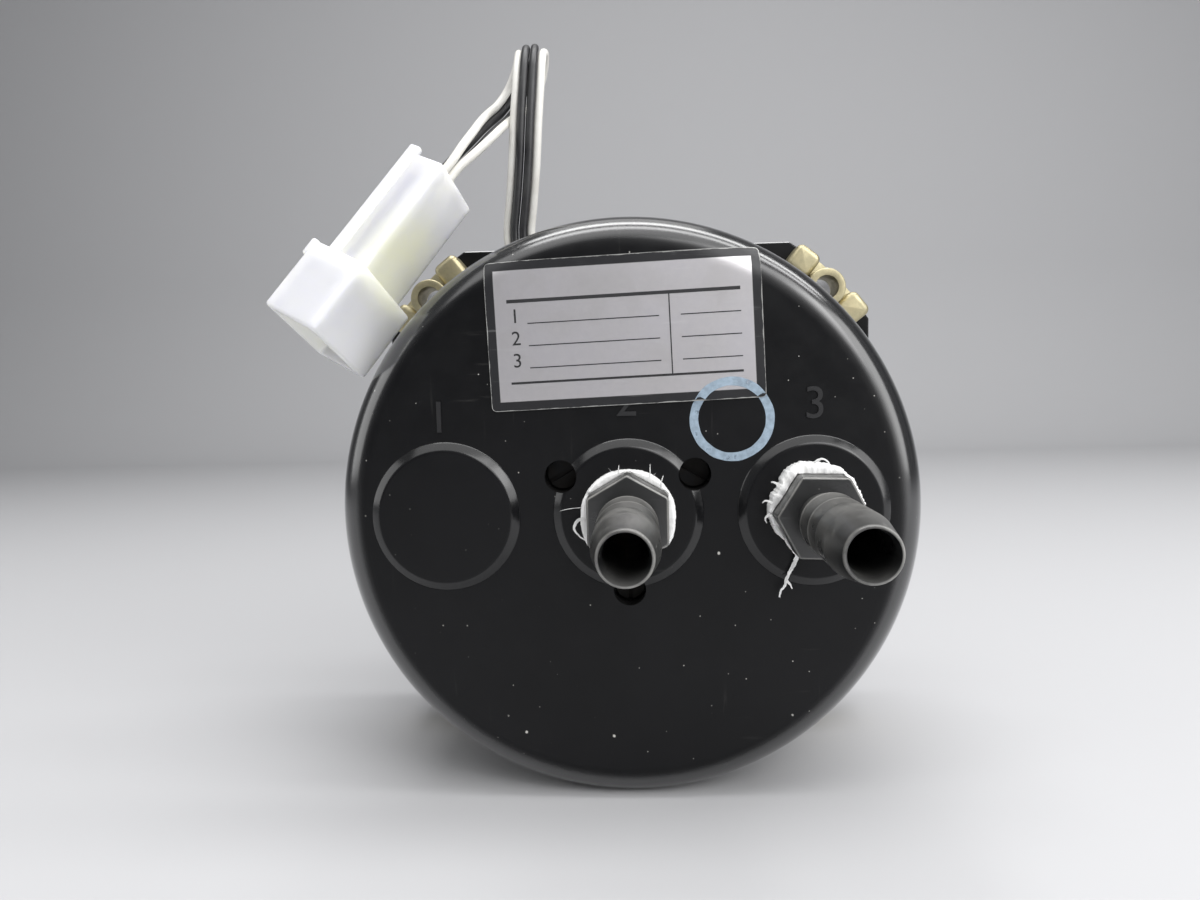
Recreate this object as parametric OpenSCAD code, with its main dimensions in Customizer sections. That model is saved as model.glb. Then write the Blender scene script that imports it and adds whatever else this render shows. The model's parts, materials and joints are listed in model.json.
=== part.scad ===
// Panel-mounted airspeed indicator with a moulded rear case, two hose fittings and lighting leads.
// The dial faces -Y, the ports face +Y and +Z is up. The origin is on the case axis, on the
// face of the mounting flange that bears on the instrument panel.

/* [Case] */
// Outer diameter of the case barrel
case_d = 79; // [76:0.5:80]
// Depth from the panel face to the rear face
case_depth = 36; // [35:0.5:42]
// Wall thickness of the barrel
case_wall = 2.4; // [1.8:0.1:2.8]
// Thickness of the rear wall
rear_wall = 3; // [2.4:0.1:3.4]
// Rounding of the rear outer edge
rear_round = 4.7; // [3.2:0.5:5.7]
// Thickness of the moulded pads behind the ports
port_pad_t = 3.5; // [3:0.1:4]
// Width of the ribs that stiffen the barrel inside
rib_w = 2; // [1.5:0.1:3]
// How far the ribs reach in under the lamp board
rib_lap = 1.4; // [1:0.1:1.8]

/* [Flange] */
// How far the flange's flats stand outside the barrel
flange_proud = 0.1; // [0.1:0.1:2.5]
// Thickness of the flange
flange_t = 5; // [4:0.5:6]
// How far the flange's rounded corners stand outside the barrel
corner_proud = 8.3; // [8:0.1:10]
// Distance of the panel screws' circle from the barrel
bolt_offset = 4.95; // [4.5:0.05:5.5]
// Diameter of the panel screw holes
bolt_hole_d = 3.7; // [3.2:0.1:4]

/* [Front] */
// How far the collar's outside stands in from the barrel's outside
collar_step = 0.7; // [0.5:0.1:1]
// How far the collar stands forward of the panel face
collar_proud = 6; // [5.5:0.5:8]
// Wall thickness of the collar
collar_wall = 2.2; // [2.2:0.1:2.6]
// Width of the bezel's lip over the glass
window_lip = 2; // [1.6:0.1:2.4]
// Thickness of the front lip of the bezel ring
bezel_t = 1.2; // [1:0.1:2]
// Depth of the bezel ring's skirt inside the collar
bezel_skirt = 1; // [0.8:0.1:1.4]
// Thickness of the cover glass
glass_t = 2.5; // [2:0.1:3]
// Thickness of the gasket under the glass
glass_gasket_t = 1; // [0.8:0.1:1.2]

/* [Dial and lighting] */
// Radial room round the dial
dial_room = 0.4; // [0.3:0.1:0.8]
// Depth of the dial behind the front edge of the light ring
dial_depth = 5.5; // [5.2:0.1:6]
// Thickness of the dial
dial_t = 0.8; // [0.6:0.1:1]
// Length of the clear light ring
light_ring_l = 9.5; // [9:0.1:10.5]
// Radial width of the clear light ring
light_ring_w = 2.4; // [2.4:0.1:2.8]
// Thickness of the lamp board
lamp_board_t = 0.8; // [0.6:0.1:1]
// Diameter of a lamp
lamp_d = 1.6; // [1.4:0.1:1.6]
// Length of a lamp
lamp_l = 5; // [4:0.1:6]
// Angle of each lamp from the top of the dial
lamp_angle = 40; // [30:1:50]
// Length of the pointer from its axis to its tip
pointer_l = 27; // [22:0.5:30]
// Length of the pointer's tail
pointer_tail = 9; // [7:0.5:11]
// Width of the pointer at its hub
pointer_w = 3.4; // [2.6:0.1:4]
// Thickness of the pointer
pointer_t = 0.5; // [0.4:0.1:0.7]
// Travel of the pointer in degrees
pointer_travel = 320; // [280:5:330]

/* [Movement] */
// Diameter of the two movement plates
plate_d = 54; // [52:0.5:56]
// Thickness of the movement plates
plate_t = 1; // [0.8:0.1:1.2]
// Length of the pillars between the plates
pillar_l = 4; // [3.8:0.1:4.4]
// Diameter of the pillars
pillar_d = 3.2; // [3:0.1:4]
// Circle on which pillars and posts stand
pillar_circle_d = 46.6; // [45:0.2:47.4]
// Diameter of the posts that carry the movement
post_d = 3.8; // [3.4:0.1:4.4]
// Gear module
gear_m = 0.3; // [0.28:0.01:0.31]
// Teeth on the handstaff pinion
pinion_n = 14; // [13:1:15]
// Teeth that the sector would have as a full wheel
sector_n = 140; // [135:1:145]
// Thickness of the sector plate
sector_t = 0.8; // [0.6:0.1:1]
// Distance from the rocking shaft to its link pin
link_r = 3.85; // [3.6:0.05:4.2]
// Angle through which the rocking shaft turns
rock_travel = 24; // [20:1:26]
// Diameter of the pivots
pivot_d = 1; // [0.8:0.1:1.2]

/* [Capsule] */
// Diameter of the pressure capsule
capsule_d = 36; // [32:0.5:38]
// Depth of one half of the capsule
capsule_half = 2; // [1.8:0.1:2.2]
// Thickness of the capsule's sheet
capsule_sheet = 0.3; // [0.2:0.05:0.4]
// Number of corrugations in each half
corrugations = 4; // [3:1:5]
// Thickness of the mechanism's base
base_t = 3; // [2.6:0.1:3.4]
// Thickness of the gasket between base and case
base_gasket_t = 0.6; // [0.5:0.1:0.8]

/* [Ports] */
// Distance from the centre port to either side port
port_spacing = 24.4; // [23.6:0.1:25.4]
// Diameter of the raised port bosses
boss_d = 20.2; // [19:0.1:21]
// Height of the raised port bosses
boss_h = 0.8; // [0.5:0.1:1.2]
// Diameter of the fittings' pipe thread
thread_d = 9.9; // [9.6:0.1:10.2]
// Hexagon of the fittings, across flats
hex_af = 10.3; // [10:0.1:11.2]
// Thickness of the hexagon
hex_t = 4.6; // [4:0.1:5.6]
// Room between boss and hexagon, filled by thread tape
tape_t = 1.6; // [1:0.1:1.8]
// Diameter over the thread tape
tape_d = 12.4; // [11.8:0.1:13]
// Bore of the fittings
bore_d = 4.9; // [4.4:0.1:5.2]
// Diameter over the hose barbs
barb_d = 7.6; // [7.2:0.1:8]
// Diameter of the stem at the foot of each barb
stem_d = 6.5; // [6.2:0.1:6.8]
// Diameter of the tip
tip_d = 6.1; // [5.8:0.1:6.4]
// Pitch of the hose barbs
barb_pitch = 4.5; // [4:0.1:5]
// Length of the straight land on the last barb
barb_land = 4.5; // [3.5:0.1:5.5]
// Length of the tapered tip beyond the land
tip_l = 5.5; // [4.5:0.1:6.5]
// Circle of the three screws that hold the mechanism
base_screw_circle_d = 20.5; // [19.6:0.1:21]
// Diameter of the screw recesses in the rear wall
screw_recess_d = 4.3; // [4:0.1:4.6]
// Depth of the screw recesses
screw_recess_depth = 4.4; // [4:0.1:4.8]

/* [Data plate] */
// Width of the data plate
label_w = 36; // [32:0.5:38]
// Height of the data plate
label_h = 19.5; // [17:0.5:20]
// Thickness of the data plate's foil
label_t = 0.25; // [0.15:0.05:0.4]
// Height of the data plate's centre above the case axis
label_z = 24.2; // [24:0.2:26]
// Slope of the data plate in degrees
label_turn = 1.9; // [0:0.1:3]

/* [Panel nuts] */
// Thickness of the spring clip's strip
clip_t = 1; // [0.8:0.1:1.2]
// Diameter of the threaded barrel
nut_barrel_d = 6; // [5.4:0.1:6.6]
// Height of the threaded barrel above the flange
nut_barrel_h = 6.4; // [5:0.1:8]
// Height of the clip's end lugs above the flange
lug_h = 5; // [4:0.1:6]
// Angle between either lug and the screw hole
lug_angle = 6.6; // [6:0.1:7.5]

/* [Leads and connector] */
// Diameter of each lighting lead
lead_d = 1.3; // [1.1:0.1:1.3]
// Angle of the lead exit round the case, from the right-hand side
exit_angle = 67; // [66:0.5:68]
// Distance of the lead exit behind the panel face
exit_y = 12; // [11.5:0.5:12.5]
// Diameter of the grommet in the case wall
grommet_d = 6.4; // [6.2:0.1:6.8]
// Depth of the connector body
conn_body_a = 7; // [6.8:0.1:7.6]
// Width of the connector body
conn_body_b = 10.2; // [9.8:0.1:10.8]
// Length of the connector body behind its shroud
conn_body_l = 18.5; // [17:0.5:20]
// Depth of the connector's shroud
conn_shroud_a = 9.7; // [9.3:0.1:10.2]
// Width of the connector's shroud
conn_shroud_b = 13.9; // [13.4:0.1:14.4]
// Length of the connector's shroud
conn_shroud_l = 11; // [10:0.5:12]
// Wall thickness of the connector's shroud
conn_wall = 1.1; // [1:0.1:1.3]
// Spacing of the two contacts
contact_pitch = 5.2; // [5:0.1:5.4]

/* [Hidden] */
$fn = 64;

// Clearances
cut = 0.5;              // how far a cutting shape runs past the face that it cuts
fit = 0.05;             // radial room of a seated round piece
running = 0.04;         // radial room of a turning pivot
end_shake = 0.1;        // axial room of a turning arbor
glass_room = 0.2;       // radial room of the glass and its gasket
drive_gap = 0.25;       // room between the rocking lever and the sector's arm
link_gap = 0.1;         // room between the capsule stud and the link pin
backlash = 0.06;        // play between the gear teeth at the pitch circle

// Barrel, and the flange measured out from it
case_r = case_d / 2;
flange_w = case_d + 2 * flange_proud;
corner_d = case_d + 2 * corner_proud;
bolt_r = case_r + bolt_offset;

// Front stack, measured along Y from the panel face
inner_r = case_r - case_wall;
collar_r = case_r - collar_step;
collar_bore_r = collar_r - collar_wall;
seat_r = collar_bore_r - glass_room;
window_r = seat_r - window_lip;
light_in_r = seat_r - light_ring_w;
dial_r = light_in_r - dial_room;
lamp_r = (seat_r + light_in_r) / 2;
rib_in_r = seat_r - rib_lap;
collar_y = -collar_proud;
glass_y = collar_y + bezel_skirt;
gasket_y = glass_y + glass_t;
light_y = gasket_y + glass_gasket_t;
dial_y = light_y + dial_depth;
dial_rear = dial_y + dial_t;
dial_gap = 0.8;
plate1_y = dial_rear + dial_gap;
plate1_rear = plate1_y + plate_t;
plate2_y = plate1_rear + pillar_l;
plate2_rear = plate2_y + plate_t;
lamp_board_y = light_y + light_ring_l;
rib_y = lamp_board_y + lamp_board_t;

// Rear stack, measured along Y back from the rear face
rear_y = case_depth;
wall_y = rear_y - rear_wall;
pad_y = wall_y - port_pad_t;
base_rear = pad_y - base_gasket_t;
base_y = base_rear - base_t;
nipple_l = 1.5;
capsule_rear_y = base_y - nipple_l;
capsule_rim_y = capsule_rear_y - capsule_half;
corrugation_h = 0.35;
capsule_flat = capsule_half - corrugation_h;
stud_seat_y = capsule_rim_y - capsule_flat;
stud_foot_t = 0.6;
boss_y = rear_y + boss_h;
pad_wall = 3;           // wall of the centre pad round the screw recesses
side_pad_wall = 3.5;    // wall of a side pad round its thread

// Gear train
pinion_r = pinion_n * gear_m / 2;
sector_r = sector_n * gear_m / 2;
gear_centres = pinion_r + sector_r;
pressure_angle = 25;
addendum = gear_m;
dedendum = 1.25 * gear_m;
sector_travel = pointer_travel * pinion_n / sector_n;
sector_half = sector_travel / 2;
sector_pitch = 360 / sector_n;
spare_teeth = 2;
sector_gap_y = 1;
sector_y = plate1_rear + sector_gap_y;
pinion_over = 0.4;
arbor_r = 0.8;
pivot_r = pivot_d / 2;

// Rocking shaft
rock_half = rock_travel / 2;
rocker_share = 12 / 19;  // place of the rocking shaft between the rear plate and the capsule
lever_r = 0.4;
arm_gap_y = 0.8;
arm_t = 0.6;
arm_w = 0.7;
arm_y = plate2_rear + arm_gap_y;
rocker_y = plate2_rear + rocker_share * (stud_seat_y - stud_foot_t - plate2_rear);
rocker_z = link_r;
lever_reach = rocker_y - arm_y - arm_t / 2;
arm_d = lever_reach * tan(rock_half) / tan(sector_half);
sector_z = rocker_z + lever_r + drive_gap + arm_w / 2;
sector_x = -sqrt(gear_centres * gear_centres - sector_z * sector_z);
lever_x = sector_x + arm_d;
mesh_angle = atan2(-sector_z, -sector_x);
link_pin_r = 0.4;
link_swing = link_r * sin(rock_half);
stud_tip_y = rocker_y + link_swing + link_pin_r + link_gap;
ear_t = 1.2;
lever_room = 3;
ear_left = lever_x + lever_room;
ear_right = 3;
bracket_t = 0.8;
bracket_w = 4;

// Places of repeated pieces: front-view angles in degrees, or [x, z] points
pillar_angles = [40, -40, 235];
base_screw_angles = [30, 150, 270];
rib_angles = [45, 135, 225, 315];
bolt_angles = [45, 135, 225, 315];
lamp_angles = [90 - lamp_angle, 90 + lamp_angle];
dial_screw_in = 3.4;
dial_screw_z = plate_d / 2 - dial_screw_in;
dial_screw_points = [[0, dial_screw_z], [0, -dial_screw_z]];
pivot_points = [[0, 0], [sector_x, sector_z]];
pillar_r = pillar_circle_d / 2;
base_screw_r = base_screw_circle_d / 2;
pitot_at = [0, 0];
static_at = [-port_spacing, 0];
blank_at = [port_spacing, 0];

// Screw and seat sizes of the movement
small_screw_r = 0.8;
small_head_r = 1.6;
small_head_t = 0.6;
dial_screw_r = 1;
dial_head_r = 1.7;
dial_head_t = 0.7;
spacer_r = 2;
jewel_r = 1.4;
base_screw_shank_r = 1.2;
base_screw_head_r = 1.95;
base_screw_head_t = 1.4;

// Lead route: the middle of the four leads, from the grommet to the connector
lead_route = [
    [16, 12, 37.75], [16.47, 12, 38.86], [16.55, 12.3, 41.6], [16, 13.1, 45.2], [15.5, 13.9, 48.8],
    [15.1, 14.5, 52.4], [14.8, 14.9, 56], [14.5, 15, 59.6], [14.2, 14.7, 63.2], [14.05, 13.7, 66.5],
    [14, 11.8, 68.9], [14.1, 9.3, 69.7], [14.6, 7, 68.6], [15.6, 5.7, 66], [17, 5.8, 63.2],
    [18.4, 7.7, 60.8], [19.5, 11, 58.7], [20.3, 14.8, 56.5], [21.3, 18.3, 54], [22.8, 20.9, 51.5],
    [24.5, 22.45, 49.25], [26.2, 23.5, 46.9], [27.83, 24.42, 44.55]
];
// Where each lead lies across and above the route, at the exit and then in the connector
lead_start = [[-1.86, -0.66], [-0.68, 0], [0.68, 0], [1.86, -0.66]];
lead_end = [[-1.04, -0.1], [0.1, 1.3], [1.04, 0.36], [-0.1, -1.04]];
// How far each lead bows out across the route on its way down
lead_bow = [-0.8, 0.5, 0.5, 0.4];
lead_fan_from = 10;
lead_fan_to = 20;
lead_sides = 8;

// Connector place: the middle of its rear face, and its turn
conn_at = [26.2, 23.5, 46.9];
conn_turn = [0, 141.4, 29.4];
conn_roll = 50.3;
contact_room = 3;
socket_floor = 2;
conn_edge = 0.8;

// Solid turned about the case axis, from a half section of [radius, y]
module turned() {
    rotate([-90, 0, 0]) rotate_extrude() children();
}

// Rod along Y at [x, z] from y0 to y1
module rod(at, y0, y1, r) {
    translate([at[0], y0, at[1]]) rotate([-90, 0, 0]) cylinder(h = y1 - y0, r = r);
}

// Tube along Y at [x, z] from y0 to y1
module tube(at, y0, y1, r_out, r_in) {
    difference() {
        rod(at, y0, y1, r_out);
        rod(at, y0 - cut, y1 + cut, r_in);
    }
}

// Plate from y0 to y1 with an outline drawn as seen from the front
module plate(y0, y1) {
    translate([0, y1, 0]) rotate([90, 0, 0]) linear_extrude(y1 - y0) children();
}

// Rectangle with round corners, made of straight sides and true arcs
module round_rect(w, h, r) {
    square([w, h - 2 * r], center = true);
    square([w - 2 * r, h], center = true);
    for (x = [-1, 1], y = [-1, 1]) {
        translate([x * (w / 2 - r), y * (h / 2 - r)]) circle(r);
    }
}

function on_circle(r, a) = [r * cos(a), r * sin(a)];

// Half section of the case's outside behind the flange, grown by g
module case_section(g) {
    difference() {
        square([case_r + g, rear_y + g]);
        translate([case_r - rear_round, rear_y - rear_round]) difference() {
            square(rear_round + g + cut);
            circle(rear_round + g);
        }
    }
}

// Half section of the space inside the case, from the panel face back
module cavity_section() {
    inner_round = rear_round - case_wall;
    difference() {
        square([inner_r, wall_y]);
        translate([inner_r - inner_round, wall_y - inner_round]) difference() {
            square(inner_round + cut);
            circle(inner_round);
        }
    }
}

// Raised disc with a bevelled rim on the rear face
module port_boss(at) {
    translate([at[0], 0, at[1]]) turned() polygon([
        [0, rear_y - cut], [boss_d / 2, rear_y - cut], [boss_d / 2, rear_y],
        [boss_d / 2 - boss_h, boss_y], [0, boss_y]
    ]);
}

module flange_outline() {
    intersection() {
        square(flange_w, center = true);
        circle(d = corner_d);
    }
}

module case() {
    pad_r = base_screw_r + screw_recess_d / 2 + pad_wall;
    side_pad_r = thread_d / 2 + side_pad_wall;
    thread_r = thread_d / 2 + fit;
    ports = [pitot_at, static_at, blank_at];
    color("#1b1c20") difference() {
        union() {
            difference() {
                union() {
                    turned() case_section(0);
                    plate(0, flange_t) flange_outline();
                    rod([0, 0], collar_y, flange_t, collar_r);
                    for (at = ports) port_boss(at);
                }
                turned() cavity_section();
                rod([0, 0], collar_y - cut, cut, collar_bore_r);
            }
            rod(pitot_at, pad_y, rear_y - cut, pad_r);
            for (at = [static_at, blank_at]) rod(at, pad_y, rear_y - cut, side_pad_r);
            for (a = rib_angles) rotate([0, -a, 0]) {
                translate([rib_in_r, rib_y, -rib_w / 2]) {
                    cube([inner_r - rib_in_r + case_wall / 2, wall_y - rib_y, rib_w]);
                }
            }
        }
        for (at = [pitot_at, static_at]) rod(at, pad_y - cut, boss_y + cut, thread_r);
        for (a = base_screw_angles) {
            at = on_circle(base_screw_r, a);
            rod(at, rear_y - screw_recess_depth, boss_y + cut, screw_recess_d / 2);
            rod(at, pad_y - cut, rear_y, base_screw_shank_r + fit);
        }
        for (a = bolt_angles) rod(on_circle(bolt_r, a), -cut, flange_t + cut, bolt_hole_d / 2);
        lead_hole(inner_r - cut, case_r + cut, grommet_d / 2);
    }
}

// Radial cylinder at the lead exit, from radius r0 to r1
module lead_hole(r0, r1, r) {
    translate([0, exit_y, 0]) rotate([0, 90 - exit_angle, 0]) translate([0, 0, r0]) cylinder(h = r1 - r0, r = r);
}

module bezel_ring() {
    color("#17181b") turned() polygon([
        [window_r, collar_y - bezel_t], [collar_r - bezel_t / 2, collar_y - bezel_t],
        [collar_r, collar_y - bezel_t / 2], [collar_r, collar_y], [seat_r, collar_y],
        [seat_r, glass_y], [window_r, glass_y]
    ]);
}

module cover_glass() {
    color("#dfeef0", 0.4) rod([0, 0], glass_y, gasket_y, seat_r);
}

module glass_gasket() {
    color("#222222") tube([0, 0], gasket_y, light_y, seat_r, window_r);
}

// Clear ring that spreads the lamps' light, notched where the lamps stand
module light_ring() {
    pocket_y = lamp_board_y - lamp_l - fit;
    color("#e6eef2", 0.5) difference() {
        tube([0, 0], light_y, lamp_board_y, seat_r, light_in_r);
        for (a = lamp_angles) rod(on_circle(lamp_r, a), pocket_y, lamp_board_y + cut, lamp_d / 2 + fit);
    }
}

module lamp_board() {
    color("#2d6b3c") tube([0, 0], lamp_board_y, rib_y, seat_r, light_in_r);
}

module lamp_bulbs() {
    color("#f3e6c4") for (a = lamp_angles) {
        rod(on_circle(lamp_r, a), lamp_board_y - lamp_l, lamp_board_y, lamp_d / 2);
    }
}

module dial_plate() {
    color("#16171a") difference() {
        rod([0, 0], dial_y, dial_rear, dial_r);
        rod([0, 0], dial_y - cut, dial_rear + cut, 2 * pivot_d);
        for (at = dial_screw_points) rod(at, dial_y - cut, dial_rear + cut, dial_screw_r + fit);
    }
}

module dial_screws() {
    slot_w = 0.4;
    color("#26272a") for (at = dial_screw_points) difference() {
        union() {
            rod(at, dial_y - dial_head_t, dial_y, dial_head_r);
            rod(at, dial_y - fit, plate1_rear, dial_screw_r);
        }
        translate([at[0] - dial_head_r - cut, dial_y - dial_head_t - cut, at[1] - slot_w / 2]) {
            cube([2 * (dial_head_r + cut), cut + dial_head_t / 2, slot_w]);
        }
    }
}

module dial_spacers() {
    color("#b9a25a") for (at = dial_screw_points) tube(at, dial_rear, plate1_y, spacer_r, dial_screw_r + fit);
}

// Pointer levels: the hub sits on the front of the handstaff, clear of the dial screws
hub_l = 1.6;
hub_r = 2;
pointer_room = 0.3;
hub_y = dial_y - dial_head_t - hub_l - pointer_room;

module pointer() {
    tip_w = 0.8;
    waist = 0.5;
    tail_r = pointer_w / 2 + 0.4;
    blade_l = 0.55 * pointer_l;
    color("#f2f2ee") difference() {
        union() {
            rod([0, 0], hub_y, hub_y + hub_l, hub_r);
            plate(hub_y, hub_y + pointer_t) {
                polygon([
                    [-pointer_w / 2, 0], [-pointer_w / 2 + waist, -pointer_tail],
                    [pointer_w / 2 - waist, -pointer_tail], [pointer_w / 2, 0], [pointer_w / 2, blade_l],
                    [tip_w / 2, pointer_l], [-tip_w / 2, pointer_l], [-pointer_w / 2, blade_l]
                ]);
                translate([0, -pointer_tail]) circle(tail_r);
            }
        }
        rod([0, 0], hub_y + pointer_t, hub_y + hub_l + cut, pivot_r + fit / 2);
    }
}

// Half the angle that a tooth fills at radius r, for a wheel of n teeth
function involute(a) = tan(a) * 180 / PI - a;
function tooth_half(n, r) =
    let (
        pitch_r = n * gear_m / 2,
        base_r = pitch_r * cos(pressure_angle),
        at_r = max(r, base_r),
        half_pitch = 90 / n - backlash / 4 / pitch_r * 180 / PI
    )
    half_pitch + involute(pressure_angle) - involute(acos(base_r / at_r));

// One tooth of a wheel of n teeth, centred on angle a, rooted inside the wheel's rim
module tooth(n, a) {
    pitch_r = n * gear_m / 2;
    steps = 4;
    sunk = 0.4 * gear_m;
    root_r = pitch_r - dedendum;
    low_r = root_r - sunk;
    levels = [for (i = [0:steps]) low_r + (sunk + dedendum + addendum) * i / steps];
    rise = [for (r = levels) on_circle(r, a - tooth_half(n, r))];
    fall = [for (i = [0:steps]) on_circle(levels[steps - i], a + tooth_half(n, levels[steps - i]))];
    foot = [on_circle(root_r - gear_m, a + 60 / n), on_circle(root_r - gear_m, a - 60 / n)];
    polygon(concat(rise, fall, foot));
}

module handstaff() {
    half_pitch = 180 / pinion_n;
    color("#c9ccd1") {
        rod([0, 0], plate1_rear + end_shake, plate2_y - end_shake, arbor_r);
        rod([0, 0], hub_y + pointer_t + fit, plate2_rear, pivot_r);
        plate(sector_y - pinion_over, sector_y + sector_t + pinion_over) {
            circle(pinion_r - dedendum);
            for (k = [0:pinion_n - 1]) tooth(pinion_n, mesh_angle + 180 + half_pitch + k * 360 / pinion_n);
        }
    }
}

// Hairspring levels and spiral
spring_gap = 0.8;
spring_y = sector_y + sector_t + spring_gap;
spring_h = 0.5;
collet_r = 1.5;
spring_turns = 4;
spring_out_r = 5.5;
spring_w = 0.12;

module hairspring() {
    per_turn = 24;
    count = spring_turns * per_turn;
    radii = [for (i = [0:count]) collet_r + spring_w / 2 + (spring_out_r - collet_r) * i / count];
    outer = [for (i = [0:count]) on_circle(radii[i] + spring_w / 2, 360 * i / per_turn)];
    inner = [for (i = [0:count]) on_circle(radii[count - i] - spring_w / 2, 360 * (count - i) / per_turn)];
    color("#8f98a8") plate(spring_y, spring_y + spring_h) polygon(concat(outer, inner));
}

module hairspring_collet() {
    over = 0.1;
    color("#b9a25a") tube([0, 0], spring_y - over, spring_y + spring_h + over, collet_r, arbor_r + fit / 2);
}

module hairspring_stud() {
    stud_w = 1;
    over = 0.2;
    color("#b9a25a") translate([spring_out_r + spring_w, spring_y - over, -stud_w / 2]) {
        cube([stud_w, plate2_y - spring_y + over, stud_w]);
    }
}

// Wedge between two angles that reaches past radius r, for cutting sector shapes
module wedge(r, a0, a1) {
    reach = 1.2 * r;
    steps = 4;
    rim = [for (i = [0:steps]) on_circle(reach, a0 + (a1 - a0) * i / steps)];
    polygon(concat([[0, 0]], rim));
}

module sector_gear() {
    first = mesh_angle + spare_teeth * sector_pitch;
    count = ceil(sector_travel / sector_pitch) + 2 * spare_teeth;
    last = first - count * sector_pitch;
    root_r = sector_r - dedendum;
    rim_w = 1.6;
    hub_out_r = 2.2;
    arm_hub_wall = 0.4;
    arm_over = 1.2;
    spoke_w = 1.4;
    tail_r = 8;
    tail_half = 25;
    middle = (first + last) / 2;
    at = [sector_x, sector_z];
    color("#c8a94e") {
        plate(sector_y, sector_y + sector_t) translate(at) {
            circle(hub_out_r);
            intersection() {
                difference() {
                    circle(root_r);
                    circle(root_r - rim_w);
                }
                wedge(sector_r, last - sector_pitch / 2, first + sector_pitch / 2);
            }
            for (k = [0:count]) tooth(sector_n, first - k * sector_pitch);
            for (a = [first - sector_pitch, last + sector_pitch]) rotate(a) {
                translate([0, -spoke_w / 2]) square([root_r - rim_w / 2, spoke_w]);
            }
            intersection() {
                circle(tail_r);
                wedge(tail_r, middle + 180 - tail_half, middle + 180 + tail_half);
            }
        }
        rod(at, plate1_rear + end_shake, plate2_y - end_shake, arbor_r);
        rod(at, plate1_y + end_shake, arm_y + arm_t, pivot_r);
        rod(at, arm_y, arm_y + arm_t, pivot_r + arm_hub_wall);
        plate(arm_y, arm_y + arm_t) translate(at) rotate(-sector_half) {
            translate([0, -arm_w / 2]) square([arm_d + arm_over, arm_w]);
        }
    }
}

// Round plate with seats for the pivots, pillars and dial screws
module movement_plate(y0, screw_holes) {
    difference() {
        rod([0, 0], y0, y0 + plate_t, plate_d / 2);
        for (at = pivot_points) rod(at, y0 - cut, y0 + plate_t + cut, jewel_r + fit / 2);
        for (a = pillar_angles) rod(on_circle(pillar_r, a), y0 - cut, y0 + plate_t + cut, small_screw_r + fit);
        for (at = screw_holes) rod(at, y0 - cut, y0 + plate_t + cut, dial_screw_r + fit);
    }
}

module front_plate() {
    color("#b7bbc0") movement_plate(plate1_y, dial_screw_points);
}

module rear_plate() {
    color("#b7bbc0") movement_plate(plate2_y, []);
}

stud_l = 2.4;

module plate_pillars() {
    color("#c8a94e") for (a = pillar_angles) {
        at = on_circle(pillar_r, a);
        difference() {
            rod(at, plate1_rear, plate2_y, pillar_d / 2);
            rod(at, plate1_rear - cut, plate1_rear + pillar_l / 2 + fit, small_screw_r + fit);
        }
        rod(at, plate2_y - fit, plate2_rear + stud_l, small_screw_r);
    }
}

module plate_screws() {
    slot_w = 0.4;
    color("#8c9096") for (a = pillar_angles) {
        at = on_circle(pillar_r, a);
        difference() {
            union() {
                rod(at, plate1_y - small_head_t, plate1_y, small_head_r);
                rod(at, plate1_y - fit, plate1_rear + pillar_l / 2, small_screw_r);
            }
            translate([at[0] - small_head_r - cut, plate1_y - small_head_t - cut, at[1] - slot_w / 2]) {
                cube([2 * (small_head_r + cut), cut + small_head_t / 2, slot_w]);
            }
        }
    }
}

module jewel_bearings() {
    color("#b3243c") for (y0 = [plate1_y, plate2_y], at = pivot_points) {
        tube(at, y0, y0 + plate_t, jewel_r, pivot_r + running);
    }
}

// Bracket with two ears that carry the rocking shaft, screwed flat on the rear plate
module rocker_bracket() {
    ear_over = 1.6;
    ear_top = rocker_y + ear_over;
    low_z = rocker_z - bracket_w / 2;
    color("#a9adb3") difference() {
        translate([ear_left, plate2_rear, low_z]) {
            cube([ear_right + ear_t - ear_left, bracket_t, bracket_w]);
            cube([ear_t, ear_top - plate2_rear, bracket_w]);
            translate([ear_right - ear_left, 0, 0]) cube([ear_t, ear_top - plate2_rear, bracket_w]);
        }
        translate([ear_left - cut, rocker_y, rocker_z]) rotate([0, 90, 0]) {
            cylinder(h = ear_right + ear_t - ear_left + 2 * cut, r = pivot_r + running);
        }
    }
}

// Rod along X at height z of the rocker's own frame
module cross_rod(x0, x1, r, z) {
    translate([x0, 0, z]) rotate([0, 90, 0]) cylinder(h = x1 - x0, r = r);
}

module rocking_shaft() {
    link_w = 1.4;
    link_t = 0.5;
    lever_hub_r = 1;
    color("#c9ccd1") translate([0, rocker_y, rocker_z]) rotate([rock_half, 0, 0]) {
        cross_rod(ear_left + ear_t + end_shake, ear_right - end_shake, arbor_r, 0);
        cross_rod(lever_x - lever_hub_r, ear_right + ear_t, pivot_r, 0);
        translate([-link_w / 2, -link_t / 2, -link_r]) cube([link_w, link_t, link_r]);
        cross_rod(-link_w, link_w, link_pin_r, -link_r);
        cross_rod(lever_x - lever_hub_r, lever_x + lever_hub_r, lever_hub_r, 0);
        rotate([90, 0, 0]) translate([lever_x, 0, 0]) cylinder(h = lever_reach + arm_t, r = lever_r);
    }
}

// Corrugated half section of one capsule sheet: [radius, distance from the rim plane]
sheet_points = 24;
capsule_centre_r = 3;
function sheet_lift(t) = (capsule_half - capsule_sheet - corrugation_h) * min(1, (1 - t) * 6)
    + corrugation_h * (1 - cos(360 * corrugations * t)) / 2 * min(1, (1 - t) * 6);
function sheet_radius(t) = capsule_centre_r + (capsule_d / 2 - capsule_centre_r) * t;

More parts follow.
